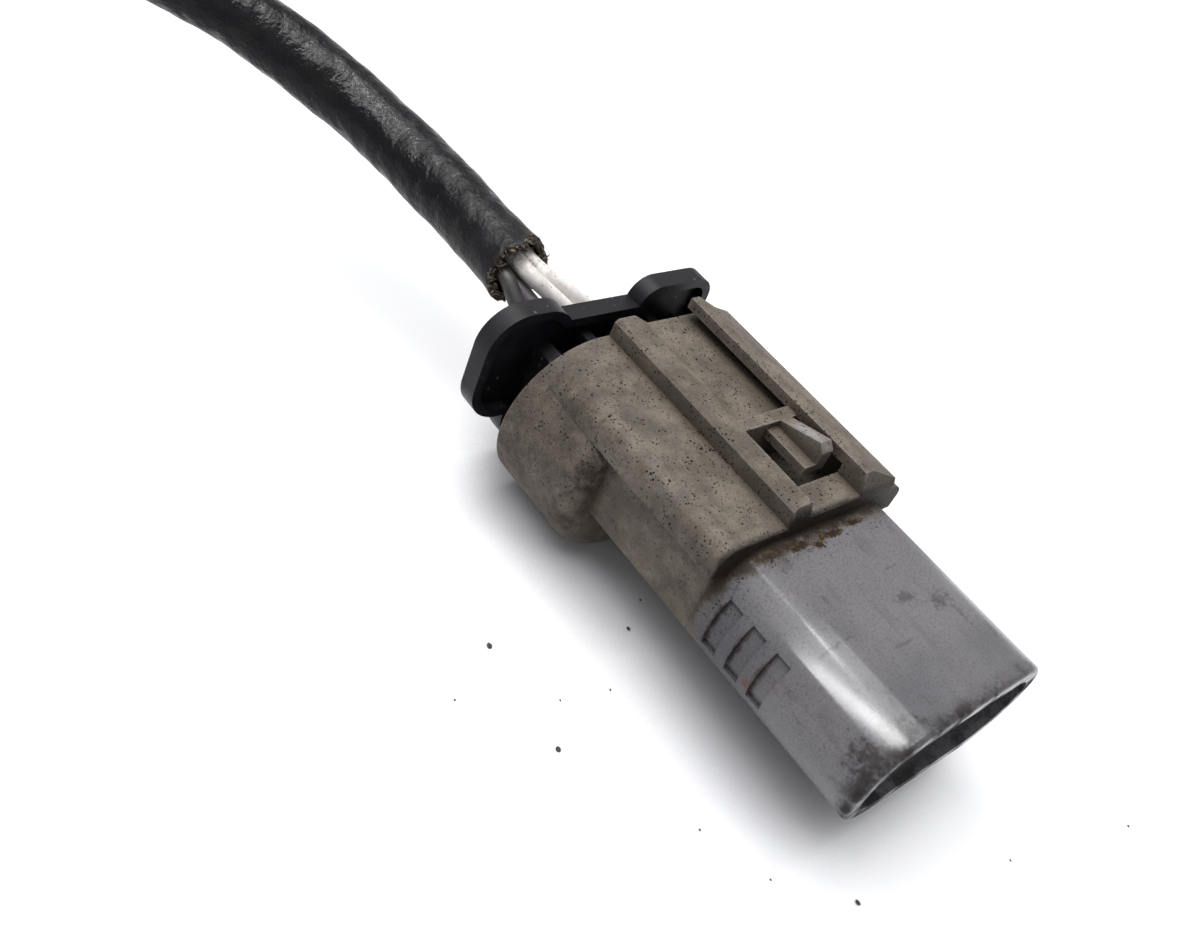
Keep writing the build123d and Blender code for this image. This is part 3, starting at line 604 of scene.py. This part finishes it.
def yarn_stubs(count, shortest, longest, thinnest, thickest, knotted):
    """Stubs on the rim: a point is root + length x (t way + t squared x curl) + width x profile.

    t runs from 0 at the root to 1 at the tip. A knotted stub swells and closes like an egg, so
    its profile is the sine of pi times (0.15 + 0.8 t); a hair only tapers to a quarter.
    """
    end, out, across, rise = (table[-1] for table in along(line_points, row_spacing)[1:])
    angle = rng.uniform(0, 2 * np.pi, count)
    radial = np.cos(angle)[:, None] * across + np.sin(angle)[:, None] * rise
    tangent = -np.sin(angle)[:, None] * across + np.cos(angle)[:, None] * rise
    radius = sleeve_radius - rng.uniform(-0.00004, sleeve_wall * 0.85, count)
    root = end + radial * radius[:, None] - out * (rim_setback(angle) + 0.0002)[:, None]
    length = rng.uniform(shortest, longest, count)
    way = out + radial * rng.normal(0.0, 0.3, count)[:, None]
    way = way + tangent * rng.normal(0, 0.55, count)[:, None]
    way /= np.linalg.norm(way, axis=1, keepdims=True)
    curl = radial * rng.normal(-0.15, 0.35, count)[:, None]
    curl = curl + tangent * rng.normal(0, 0.6, count)[:, None]
    width = rng.uniform(thinnest, thickest, count)
    t = np.linspace(0, 1, stub_rows)
    turns = np.arange(stub_sides) / stub_sides * 2 * np.pi
    centre = root[:, None] + length[:, None, None] * (
        t[None, :, None] * way[:, None] + (t**2)[None, :, None] * curl[:, None]
    )
    profile = np.sin(np.pi * (0.15 + 0.8 * t)) if knotted else 1 - 0.75 * t**1.5
    section = np.cos(turns)[None, :, None] * radial[:, None] + (
        np.sin(turns)[None, :, None] * tangent[:, None]
    )
    swell = (width[:, None] * profile[None])[:, :, None, None]
    return centre[:, :, None] + swell * section[:, None]


fray = np.concatenate([
    yarn_stubs(knot_count, 0.00035, 0.0008, 0.00013, 0.00026, True),
    yarn_stubs(hair_count, 0.0004, 0.0011, 0.00003, 0.00007, False),
])
fray_count = knot_count + hair_count
per_stub = stub_rows * stub_sides
stub_faces = grid_faces(stub_rows, stub_sides)
first_ring = list(range(stub_sides))[::-1]
last_ring = list(range(per_stub - stub_sides, per_stub))
all_faces = [
    [corner + number * per_stub for corner in face]
    for number in range(fray_count)
    for face in stub_faces + [first_ring, last_ring]
]
fray_piece = mesh_piece("lead_fray", fray.reshape(-1, 3), all_faces)
tone = np.repeat(rng.uniform(0, 1, fray_count), per_stub)
height_on_stub = np.tile(np.repeat(np.linspace(0, 1, stub_rows), stub_sides), fray_count)
for name, values in (("yarn_tone", tone), ("yarn_tip", height_on_stub)):
    fray_piece.data.attributes.new(name, "FLOAT", "POINT").data.foreach_set("value", values)
smooth(fray_piece)
print("stubs and hairs:", fray_count, "faces:", len(fray_piece.data.polygons))

# %% [markdown]
# The coat is close to black and half glossy. It fills the braid nearly level, so the weave is felt
# rather than seen: it breaks the highlight into a streak of soft dashes. The weave is two crossed
# sets of waves on the piece's own map, pushed about by noise, and a Bump node turns their height
# into shading. Old dust lies in it as faint brown clouds.

# %% Finish of the coated braid
coat, tree, shader = new_material("coated_braid")
uv = add_node(tree, "UVMap")
uv.uv_map = "along_and_round"
lengthwise, roundwise = parts_of(uv.outputs[0])[:2]
where = place_of(tree)
soft = noise(where, 420.0, 4.0, 0.6)
lumpy = noise(where, 900.0, 2.0, 0.5)
fine = noise(where, 2800.0, 3.0, 0.6)
push = times(calc("SUBTRACT", soft, 0.5), 0.0016)
weave_rate = 3300.0
crossing = []
for sign in (1, -1):
    turned_round = times(roundwise, sign)
    place_on_weave = calc("ADD", calc("ADD", lengthwise, turned_round), push)
    phase = times(place_on_weave, weave_rate)
    crossing.append(calc("ABSOLUTE", calc("SINE", phase)))
weave = calc("MAXIMUM", crossing[0], crossing[1])
height = calc("ADD", times(weave, 0.09), times(soft, 1.7))
height = calc("ADD", height, times(lumpy, 0.9))
height = calc("ADD", height, times(fine, 0.05))
dusty = spread(noise(where, 170.0, 5.0, 0.6), 0.48, 0.75)
base = blend_colour(dusty, rgb(8, 8, 13), rgb(21, 17, 17))
crumbs = use_group(specks, Vector=where, Scale=1500.0, Amount=0.08, Size=0.25)
base = lay(base, crumbs, 0.4, rgb(92, 82, 72))
worn = spread(lengthwise, lead_length - 0.014, lead_length - 0.001)
base = lay(base, worn, 0.5, rgb(28, 26, 28))
cut_glow = spread(lengthwise, lead_length - 0.0010, lead_length + 0.0002)
torn = spread(noise(where, 1500.0, 4.0, 0.7), 0.35, 0.7)
base = lay(base, cut_glow, torn, rgb(70, 58, 46))
gloss = calc("ADD", spread(soft, 0.3, 0.75, 0.18, 0.38), times(worn, 0.12))
cover(shader, base, gloss, height, 0.00022, 0.75)
fill(shader, Specular_IOR_Level=0.16)
use_material(lead, coat)

yarn, tree, shader = new_material("loose_glass_yarn")


def own_value(attribute):
    """The number that each stub or hair carries under a name."""
    node = add_node(tree, "Attribute")
    node.attribute_name = attribute
    return node.outputs["Fac"]


own_tone = own_value("yarn_tone")
dark = blend_colour(own_tone, rgb(30, 25, 22), rgb(84, 72, 58))
pale = spread(times(own_value("yarn_tip"), own_tone), 0.35, 0.8)
fill(shader, Base_Color=blend_colour(pale, dark, rgb(122, 108, 90)), Roughness=0.55)
use_material(fray_piece, yarn)
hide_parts("lead_sleeve")
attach(lead, "root")
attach(fray_piece, "root")
print("lead declared:", round(lead_length, 4), "m long")

# %% [markdown]
# A moulded part has no truly sharp edges: each one is rounded a little and catches a thin line of
# light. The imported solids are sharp, so the two mouldings are copied, their loose triangles are
# joined into faces, and a Bevel modifier rounds every edge that turns by more than a set angle. The
# solids stay hidden underneath for the physics.

# %% Mouldings with rounded edges
def softened_copy(node, name, width):
    """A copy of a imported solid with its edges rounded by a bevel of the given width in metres."""
    mesh = nodes[node].data.copy()
    shape = bmesh.new()
    shape.from_mesh(mesh)
    bmesh.ops.remove_doubles(shape, verts=shape.verts, dist=2e-6)
    bmesh.ops.dissolve_limit(
        shape, angle_limit=math.radians(0.6), verts=shape.verts, edges=shape.edges
    )
    bmesh.ops.recalc_face_normals(shape, faces=shape.faces)
    shape.to_mesh(mesh)
    shape.free()
    mesh.name = name
    piece = bpy.data.objects.new(name, mesh)
    bpy.context.scene.collection.objects.link(piece)
    mesh.materials.clear()
    smooth(piece)
    bevel = piece.modifiers.new("rounding", "BEVEL")
    bevel.width = width
    bevel.segments = 2
    bevel.limit_method = "ANGLE"
    bevel.angle_limit = math.radians(30)
    piece.modifiers.new("even_shading", "WEIGHTED_NORMAL").weight = 80
    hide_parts(node)
    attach(piece, "root")
    print(name, "faces:", len(mesh.polygons))
    return piece


housing = softened_copy("connector_housing", "housing_moulding", 0.00022)
retainer = softened_copy("rear_retainer", "retainer_moulding", 0.0002)

# %% [markdown]
# The housing is a grey plastic with a satin skin. Years under a car left it dusty and brown behind
# the step and wiped clean on the hood. The first layer comes from noise and from how far back a
# place lies, because the change of tone follows the step. Sheltered corners get brown dirt and
# painted shade, and the step's front face and the band before it get near-black dirt and painted
# shade. The mouth's rim is painted darker, and outer edges behind the step paler.

# %% Grey moulding: tones, dirt with painted shade, a darker rim and paler edges
deck_front = 0.0227
grey, tree, shader = new_material("grey_moulding")
where = place_of(tree)
across_x, back_y, up_z = parts_of(where)
mottle = noise(where, 260.0, 5.0, 0.62)
broad = noise(where, 75.0, 3.0, 0.5)
fine_grain = noise(where, 4200.0, 3.0, 0.7)


def from_step(start, end, to_low=0.0, to_high=1.0):
    """A smooth ramp between two distances behind the deck's front face, in metres."""
    return spread(back_y, deck_front + start, deck_front + end, to_low, to_high)


clean = blend_colour(spread(broad, 0.35, 0.65), rgb(92, 91, 95), rgb(109, 107, 110))
dusty = blend_colour(spread(mottle, 0.35, 0.7), rgb(89, 82, 73), rgb(121, 112, 101))
behind = calc("ADD", back_y, times(calc("SUBTRACT", mottle, 0.5), 0.004))
behind = spread(behind, deck_front - 0.0021, deck_front - 0.0001)
colour = blend_colour(behind, clean, dusty)
colour = lay(colour, spread(fine_grain, 0.45, 0.68), 0.46, rgb(60, 52, 46))
# Brown dirt and painted shade in sheltered corners, weaker on the hood in front of the step.
corner_dirt_and_shade = spread(openness(tree, 0.0032), 0.35, 0.92, 1.0, 0.0)
corner_dirt_and_shade = times(corner_dirt_and_shade, spread(mottle, 0.3, 0.62, 0.45, 1.0))
corner_dirt_and_shade = times(corner_dirt_and_shade, from_step(-0.0037, 0.0013, 0.25, 1.0))
colour = lay(colour, corner_dirt_and_shade, 0.85, rgb(58, 46, 36))
# Dirt and painted shade: the step's front face and a mottled band just before it go near black.
front_face = times(from_step(-0.0007, -0.0002), from_step(0.0001, 0.0004, 1.0, 0.0))
crust = times(from_step(-0.0021, -0.0003), spread(mottle, 0.42, 0.54))
crust = times(crust, from_step(0.0001, 0.0009, 1.0, 0.0))
step_dirt_and_shade = calc("MAXIMUM", front_face, crust)
step_dirt_and_shade = times(step_dirt_and_shade, spread(across_x, 0.003, 0.012, 1.0, 0.45))
step_dirt_and_shade = times(step_dirt_and_shade, spread(up_z, -0.002, 0.005, 0.25, 1.0))
colour = lay(colour, step_dirt_and_shade, 0.95, rgb(16, 10, 7))
# Darker towards the mouth's rim.
darker_near_rim = spread(back_y, 0.0005, 0.0021, 1.0, 0.0)
darker_near_rim = times(darker_near_rim, spread(mottle, 0.4, 0.58, 0.2, 1.0))
colour = lay(colour, darker_near_rim, 0.9, rgb(34, 31, 30))
smear = noise(stretched(where, (1.0, 0.35, 1.0), (0, 0, 0.5)), 620.0, 4.0, 0.6)
smear = times(spread(smear, 0.52, 0.68), spread(broad, 0.4, 0.6))
colour = lay(colour, smear, 0.3, rgb(72, 69, 71))
# Outer edges behind the step are made paler.
paler_edge = spread(openness(tree, 0.0006, samples=6, inside=True), 0.45, 0.75, 1.0, 0.0)
paler_edge = times(paler_edge, from_step(-0.0001, 0.0009))
colour = lay(colour, paler_edge, 0.4, rgb(142, 131, 125))
print("the step between hood and deck in metres:", deck_front)

# %% [markdown]
# Some marks are particular to this one connector: brown soil and painted shade along the step and
# on the rear walls of the grips, yellow-brown residue before the step, a spot of rust, dark smudges
# on the hood and a rubbed place on the latch's wedge. Noise can't put them where they belong, so
# each is a row with its place, its reach and its strength, and one small loop lays them all.

# %% Grey moulding: stains in their places
brown_stains_and_shade = [
    ((-14.0, 46.0, 1.5), (7.0, 9.0, 9.0), 0.42),
    ((-13.8, 30.0, -1.0), (1.6, 10.0, 7.0), 0.3),
    # These rows lie along the step's foot: dirt and painted shade.
    ((-6.5, 22.0, 6.8), (4.6, 1.5, 1.6), 0.9),
    ((0.5, 22.1, 6.8), (5.0, 1.1, 1.6), 0.85),
    ((6.5, 22.2, 6.8), (3.2, 0.8, 1.6), 0.7),
    ((-10.6, 22.0, 5.8), (2.6, 1.6, 2.4), 0.95),
    ((-12.9, 22.2, 3.4), (1.4, 1.6, 2.8), 0.7),
    ((-7.5, 20.6, 6.6), (2.4, 1.4, 1.0), 0.35),
    ((-13.5, 23.8, 4.6), (1.2, 2.2, 1.2), 0.5),
    ((-14.3, 40.1, 2.0), (2.0, 1.3, 3.4), 0.7),
    ((-15.0, 40.4, -5.5), (2.2, 2.0, 2.4), 0.55),
    ((-15.8, 50.4, -3.9), (1.2, 1.4, 4.0), 0.4),
    ((-10.8, 41.5, 6.4), (3.0, 2.0, 1.6), 0.3),
    ((-13.8, 30.0, 3.6), (1.0, 6.0, 1.0), 0.45),
    # These three lie on the grips' rear walls: painted shade and dirt, in brown.
    ((-13.2, 20.4, 0.6), (1.0, 0.45, 3.4), 0.8),
    ((-13.2, 17.1, 0.6), (1.0, 0.45, 3.4), 0.8),
    ((-13.2, 13.8, 0.6), (1.0, 0.45, 3.4), 0.75),
]
yellow_places = [
    ((-4.2, 21.3, 6.7), (2.0, 0.55, 1.0)), ((0.4, 21.2, 6.7), (2.3, 0.5, 1.0)),
    ((4.6, 21.4, 6.7), (1.6, 0.4, 1.0)), ((-8.6, 21.6, 6.5), (1.4, 0.8, 1.0)),
    ((-1.8, 20.6, 6.7), (0.9, 0.5, 1.0)),
]
dark_places = [
    ((2.1, 12.1, 6.7), (1.5, 0.8, 1.0), 0.55),
    ((5.8, 10.3, 6.7), (1.7, 1.2, 1.0), 0.6),
    ((-9.9, 11.1, 6.1), (3.4, 0.25, 1.2), 0.55),
    ((-12.6, 1.6, 3.6), (2.4, 2.6, 3.0), 0.9),
    ((-10.4, 1.3, 5.6), (3.4, 2.0, 1.6), 0.85),
    ((-9.6, 2.6, 6.0), (1.6, 0.5, 1.0), 0.6),
    ((-13.6, 1.4, 0.6), (1.2, 1.5, 2.4), 0.65),
    ((-8.8, 4.2, 6.4), (0.5, 1.5, 1.0), 0.4),
    ((4.0, 15.5, 6.7), (1.1, 0.25, 1.0), 0.5),
    ((8.6, 5.4, 6.4), (0.6, 1.3, 1.0), 0.5),
    ((6.6, 7.8, 6.6), (0.3, 1.6, 1.0), 0.4),
    ((-2.5, 8.2, 6.7), (1.8, 0.22, 1.0), 0.35),
    ((-6.6, 15.2, 6.6), (0.3, 1.2, 1.0), 0.35),
    ((0.0, 0.3, 6.6), (11.0, 0.5, 1.0), 0.45),
]


def stains(under, rows, ragged, grain, tint):
    """Lays stains of one tint over a colour; a row is a place and a reach in mm and a strength."""
    for place, reach, strength in rows:
        mask = stain_mask(where, place, reach, ragged, grain)
        under = lay(under, mask, strength, tint)
    return under


colour = stains(colour, brown_stains_and_shade, 0.9, 900.0, rgb(40, 29, 20))
for place, reach in yellow_places:
    mask = spread(stain_mask(where, place, reach, 1.1, 1500.0), 0.1, 0.5)
    colour = lay(colour, mask, 0.85, rgb(70, 48, 14))
    core = stain_mask(where, place, [value * 0.8 for value in reach], 1.6, 2600.0)
    colour = blend_colour(spread(core, 0.1, 0.6), colour, rgb(30, 21, 8))
rust_places = [((-13.7, 14.3, -1.4), (0.7, 0.8, 0.9), 0.9)]
colour = stains(colour, rust_places, 1.2, 1500.0, rgb(96, 54, 40))
colour = stains(colour, dark_places, 1.3, 1400.0, rgb(42, 38, 38))
wedge_places = [((3.9, 30.6, 11.0), (1.1, 3.6, 1.0), 0.7)]
colour = stains(colour, wedge_places, 0.5, 900.0, rgb(150, 148, 148))
all_places = brown_stains_and_shade, yellow_places, rust_places, dark_places, wedge_places
print("stains placed:", sum(len(places) for places in all_places))

# %% [markdown]
# Last come the small things. Black specks are burnt into the dusty deck in clumps and thin out on
# the hood, and fine scratches run along it. The shine is a clear coat that only the clean part of
# the hood keeps, off the dirt and the painted shade, because dirt is dull: without that, dark specks
# would look grey under the white sky.

# %% Grey moulding: scratches, specks, shine and relief
streaky = stretched(where, (1.0, 0.16, 1.0), (0, 0, 0.35))
scuffs = use_group(scratches, Vector=streaky, Scale=760.0, Width=0.006)
scuffs = times(scuffs, from_step(-0.0037, 0.0013, 1.0, 0.15))
colour = lay(colour, scuffs, 0.4, rgb(60, 56, 55))
big = use_group(specks, Vector=where, Scale=1700.0, Amount=0.42, Size=0.3)
small = use_group(specks, Vector=where, Scale=3300.0, Amount=0.62, Size=0.42)
clumps = spread(noise(where, 240.0, 4.0, 0.65), 0.36, 0.54, 0.2, 1.0)
specked = times(calc("MAXIMUM", big, small), clumps)
specked = times(specked, from_step(-0.0062, -0.0002, 0.06, 1.0))
specked = times(specked, spread(up_z, -0.009, 0.006, 0.35, 1.0))
colour = blend_colour(specked, colour, rgb(9, 7, 6))
step_and_rim_marks = calc("MAXIMUM", step_dirt_and_shade, darker_near_rim)
dirt_and_shade_marks = calc("MAXIMUM", step_and_rim_marks, calc("MAXIMUM", specked, corner_dirt_and_shade))
polished = from_step(-0.0132, -0.0072, 0.62, 0.04)
polished = times(polished, calc("SUBTRACT", 1.0, dirt_and_shade_marks))
polished = times(polished, spread(mottle, 0.3, 0.6, 0.75, 1.0))
fill(shader, Coat_Weight=polished, Coat_Roughness=0.13, Specular_IOR_Level=0.16)
gloss = from_step(-0.0137, 0.0008, 0.26, 0.64)
for mask, effect in ((calc("SUBTRACT", mottle, 0.5), 0.18), (corner_dirt_and_shade, 0.3), (darker_near_rim, 0.45)):
    gloss = calc("ADD", gloss, times(mask, effect))
relief = calc("SUBTRACT", times(fine_grain, 0.25), times(specked, 0.8))
relief = calc("SUBTRACT", relief, times(scuffs, 0.3))
cover(shader, colour, gloss, relief, 0.00006, 0.5)
use_material(housing, grey)
print("grey moulding ready")

# %% [markdown]
# The retainer is a harder, darker plastic. It is nearly black, so what shows its shape is the soft
# shine on its rims, and the pale dust specks that settled on it. Its sheltered places are painted
# darker still, as painted shade.

# %% Finish of the black moulding
black, tree, shader = new_material("black_moulding")
where = place_of(tree)
mottle = noise(where, 300.0, 4.0, 0.6)
base = blend_colour(spread(mottle, 0.35, 0.7), rgb(12, 12, 16), rgb(21, 20, 25))
dust = use_group(specks, Vector=where, Scale=1500.0, Amount=0.16, Size=0.30)
base = lay(base, dust, 0.55, rgb(120, 108, 98))
# Painted shade: sheltered places are blended towards near black.
outside_painted_shade = spread(openness(tree, 0.003), 0.4, 0.95)
base = blend_colour(outside_painted_shade, rgb(9, 9, 12), base)
grain = noise(where, 3200.0, 3.0, 0.6)
cover(shader, base, spread(mottle, 0.3, 0.7, 0.38, 0.56), grain, 0.00005, 0.4)
fill(shader, Specular_IOR_Level=0.2)
use_material(retainer, black)
print("black moulding ready")

# %% [markdown]
# The insulation of the wires is plain extruded plastic, smooth along its length. The white ones
# show handling best: brown grime is rubbed in near the retainer and under the sleeve's edge, and
# the black and grey ones have only a film of dust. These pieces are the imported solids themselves,
# so the material goes straight into their slots.


# %% Finish of the wires
def dress(node_names, material):
    """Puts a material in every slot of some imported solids, which stay as they are."""
    for node_name in node_names:
        for slot in nodes[node_name].material_slots:
            slot.material = material


def insulation(name, fresh, used, amount):
    """Insulation: two close shades mixed by noise, with grime near the retainer and the sleeve."""
    material, tree, shader = new_material(name)
    where = place_of(tree)
    back_y = parts_of(where)[1]
    lengthwise = stretched(where, (1.0, 0.25, 1.0))
    patchy = noise(lengthwise, 900.0, 4.0, 0.6)
    colour = blend_colour(spread(patchy, 0.35, 0.7), fresh, used)
    ends = calc(
        "MAXIMUM", spread(back_y, 0.0575, 0.0620, 1.0, 0.0),
        spread(back_y, 0.0640, 0.0675),
    )
    rubbed = spread(noise(where, 1100.0, 5.0, 0.7), 0.38, 0.62)
    rubbed = times(rubbed, calc("ADD", times(ends, 0.75), 0.2))
    colour = lay(colour, rubbed, amount, rgb(112, 88, 66))
    dots = use_group(specks, Vector=where, Scale=2600.0, Amount=0.15, Size=0.35)
    colour = lay(colour, dots, 0.5, rgb(60, 48, 40))
    cover(shader, colour, spread(patchy, 0.3, 0.7, 0.34, 0.5), patchy, 0.00004, 0.4)
    return material


for node_names, name, fresh, used, amount in (
    (["wire_white_left", "wire_white_right"],
     "white_insulation", (250, 247, 244), (240, 234, 228), 0.7),
    (["wire_grey"], "grey_insulation", (112, 108, 112), (126, 121, 124), 0.4),
    (["wire_black"], "black_insulation", (20, 20, 24), (38, 36, 38), 0.25),
):
    dress(node_names, insulation(name, rgb(*fresh), rgb(*used), amount))
print("wires dressed: 4")

# %% [markdown]
# The steel body is one turned and milled piece: a hexagon for the spanner, an M18 x 1.5 thread and
# a collar at the back that is crimped over the casing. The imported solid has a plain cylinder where
# the thread belongs. Here the whole body is one grid in polar form, so the thread can be a true
# helix: the radius at a place depends on how far that place lies from the nearest crest.

# %% The threaded body
thread_pitch = 0.0015
thread_depth = 0.0008
hex_flats = 0.022
hex_columns = 144
probe_lean = math.radians(6.5688)
probe_seat = np.array((-0.133, -0.015, floor_z + 0.011843))
tip_way = np.array((0.0, -math.cos(probe_lean), math.sin(probe_lean)))
probe_up = np.array((0.0, math.sin(probe_lean), math.cos(probe_lean)))
probe_right = np.array((1.0, 0.0, 0.0))


def hexagon(angle):
    """The distance from the centre to a hexagon's side: half the flats over a cosine.

    The angle in the cosine is measured from the middle of the nearest side.
    """
    return hex_flats / 2 / np.cos(angle % (np.pi / 3) - np.pi / 6)


def threaded(place, angle):
    """The thread's radius: crest minus depth times a trapezoid wave of the distance along it.

    The wave is place / pitch minus angle / full turn, and the lead-in cones at both ends cap it.
    """
    phase = (place / thread_pitch - angle / (2 * np.pi)) % 1
    from_crest = np.minimum(phase, 1 - phase) * 2
    cut = np.clip((from_crest - 0.14) / 0.62, 0, 1)
    cone_in = 0.0083 + (place - 0.0018) * 0.9
    cone_out = 0.0082 + (0.0113 - place)
    return np.minimum(0.009 - thread_depth * cut, np.minimum(cone_in, cone_out))


def body_grid():
    """The body's closed outline in polar form, one ring of radii for each place along the axis.

    The outline runs down the outside from the crimped collar to the spigot and back through the
    bore. Places are metres from the gasket's seat, towards the tip positive.
    """
    angle = np.arange(hex_columns) / hex_columns * 2 * np.pi
    flat = np.ones(hex_columns)
    rows = [(-0.0126, 0.0079 * flat), (-0.0123, 0.0083 * flat), (-0.0116, 0.0089 * flat)]
    rows += [(-0.0081, 0.0089 * flat), (-0.0080, 0.0091 * flat)]
    for start, from_radius, growth in ((-0.008, 0.0114, 0.0012), (-0.00065, 0.0126, -0.0012)):
        for step in np.linspace(0, 1, 6):
            cap = from_radius + growth * step
            rows.append((start + 0.00065 * step, np.minimum(hexagon(angle), cap)))
    rows += [(0.0, 0.0083 * flat), (0.0017, 0.0083 * flat)]
    for place in np.linspace(0.0018, 0.0113, 96):
        rows.append((place, threaded(place, angle)))
    rows += [(0.0113, 0.0071 * flat), (0.0134, 0.0071 * flat), (0.0137, 0.0069 * flat)]
    for place, radius in (
        (0.0137, 0.00625), (0.0122, 0.00625), (0.0122, 0.0041), (0.002, 0.0041), (0.002, 0.0064),
        (-0.0107, 0.0064), (-0.0107, 0.00765), (-0.0116, 0.00765), (-0.0116, 0.00635),
        (-0.0126, 0.00635),
    ):
        rows.append((place, radius * flat))
    rows.append(rows[0])
    places = np.array([row[0] for row in rows])[:, None, None]
    radii = np.array([row[1] for row in rows])[:, :, None]
    spokes = np.cos(angle)[None, :, None] * probe_right + np.sin(angle)[None, :, None] * probe_up
    return probe_seat + places * tip_way + radii * spokes


body_points = body_grid()
body_rows = len(body_points) - 1
body_faces = np.array(grid_faces(body_rows + 1, hex_columns)) % (body_rows * hex_columns)
body = mesh_piece("threaded_body", body_points[:-1].reshape(-1, 3), body_faces.tolist())
close_ends(body)
smooth(body)
body.data.set_sharp_from_angle(angle=math.radians(28))
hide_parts("hex_body")
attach(body, "root")
print("threaded body:", len(body.data.polygons), "faces")

# %% [markdown]
# Exhaust heat colours the steel: straw near the hexagon, brown further on and blue grey at the tip.
# The probe's metals therefore share one recipe, in which the place along the axis picks the tint.
# The rest is brushed or turned steel with faint rings round the axis, dulled by noise.


# %% Finishes of the probe
def along_probe(tree):
    """The distance along the probe's axis from the gasket's seat, towards the tip positive."""
    offset = vector_calc("SUBTRACT", place_of(tree), tuple(probe_seat))
    return vector_calc("DOT_PRODUCT", offset, tuple(tip_way))


def steel(name, dark, pale, heat, roughness):
    """Dulled steel: two shades mixed by noise, turned rings as bump, and heat tints to the tip."""
    material, tree, shader = new_material(name)
    where = place_of(tree)
    place = along_probe(tree)
    cloudy = noise(where, 260.0, 5.0, 0.65)
    colour = blend_colour(spread(cloudy, 0.32, 0.7), dark, pale)
    wobble = times(calc("SUBTRACT", cloudy, 0.5), 0.006)
    hot = calc("ADD", place, wobble)
    for start, end, tint, strength in (
        (0.000, 0.010, rgb(176, 142, 88), 0.5), (0.010, 0.017, rgb(118, 78, 56), 0.6),
        (0.018, 0.027, rgb(82, 82, 98), 0.6),
    ):
        colour = lay(colour, spread(hot, start, end), strength * heat, tint)
    spots = use_group(specks, Vector=where, Scale=900.0, Amount=0.16, Size=0.3)
    colour = lay(colour, spots, 0.45, rgb(62, 48, 38))
    dirt = spread(openness(tree, 0.002, samples=6, own=False), 0.35, 0.9, 0.7, 0.0)
    colour = blend_colour(dirt, colour, rgb(56, 48, 42))
    fill(shader, Metallic=calc("SUBTRACT", 1.0, times(dirt, 0.6)))
    rings = noise(stretched(where, (0.1, 1.0, 0.1)), 5200.0, 2.0, 0.5)
    rings = calc("ADD", rings, times(cloudy, 0.6))
    cover(shader, colour, spread(cloudy, 0.3, 0.7, *roughness), rings, 0.00003, 0.35)
    return material


plated = steel("plated_steel", rgb(132, 128, 120), rgb(168, 163, 153), 0.5, (0.32, 0.48))
use_material(body, plated)
steel_finishes = [
    (["seat_gasket"], "gasket_steel", (138, 133, 124), (166, 160, 148), 0.3, (0.3, 0.45)),
    (["outer_shield", "inner_shield"],
     "shield_steel", (130, 122, 112), (158, 150, 138), 1.0, (0.28, 0.46)),
    (["upper_casing", "vent_sleeve"],
     "casing_steel", (140, 136, 128), (174, 169, 160), 0.3, (0.26, 0.42)),
    ([f"contact_spring_{number}" for number in range(1, 5)] + ["retaining_ring"],
     "spring_steel", (150, 147, 141), (176, 172, 164), 0.0, (0.25, 0.4)),
    ([f"terminal_{number}" for number in range(1, 5)],
     "tinned_contact", (168, 166, 160), (196, 194, 188), 0.0, (0.22, 0.36)),
]
for node_names, name, dark, pale, heat, roughness in steel_finishes:
    dress(node_names, steel(name, rgb(*dark), rgb(*pale), heat, roughness))


def plain_finish(name, dark, pale, roughness, grain_scale, grain_depth):
    """A finish without metal: two shades mixed by noise, dirt in sheltered places, fine grain."""
    material, tree, shader = new_material(name)
    where = place_of(tree)
    cloudy = noise(where, 320.0, 4.0, 0.6)
    colour = blend_colour(spread(cloudy, 0.35, 0.7), dark, pale)
    dots = use_group(specks, Vector=where, Scale=1700.0, Amount=0.12, Size=0.3)
    colour = lay(colour, dots, 0.35, rgb(70, 62, 56))
    dirt = spread(openness(tree, 0.002, samples=6, own=False), 0.35, 0.9, 0.5, 0.0)
    colour = blend_colour(dirt, colour, rgb(40, 34, 30))
    grain = noise(where, grain_scale, 3.0, 0.6)
    cover(shader, colour, spread(cloudy, 0.3, 0.7, *roughness), grain, grain_depth, 0.5)
    return material


plain_finishes = [
    (["terminal_lock"], "purple_lock", (92, 66, 106), (110, 82, 124), (0.35, 0.5), 2400.0, 0.00004),
    (["wire_seal"], "seal_rubber", (146, 62, 42), (166, 76, 52), (0.5, 0.65), 1800.0, 0.00005),
    (["zirconia_element"], "zirconia", (214, 209, 196), (228, 224, 213), (0.35, 0.5), 3000.0, 0.00002),
    (["front_ceramic_holder", "rear_ceramic_holder", "contact_insulator"],
     "steatite", (204, 196, 178), (222, 215, 198), (0.5, 0.7), 2200.0, 0.00004),
    (["talc_ring"], "talc", (180, 176, 164), (200, 196, 185), (0.7, 0.85), 1600.0, 0.00008),
    (["vent_filter"], "vent_membrane", (196, 193, 184), (212, 209, 201), (0.6, 0.75), 2600.0, 0.00004),
    (["grommet"], "grommet_rubber", (32, 28, 27), (50, 44, 42), (0.5, 0.68), 2000.0, 0.00006),
]
for node_names, name, dark, pale, roughness, grain_scale, grain_depth in plain_finishes:
    finish = plain_finish(name, rgb(*dark), rgb(*pale), roughness, grain_scale, grain_depth)
    dress(node_names, finish)
print("finishes of the probe and the inner parts ready")
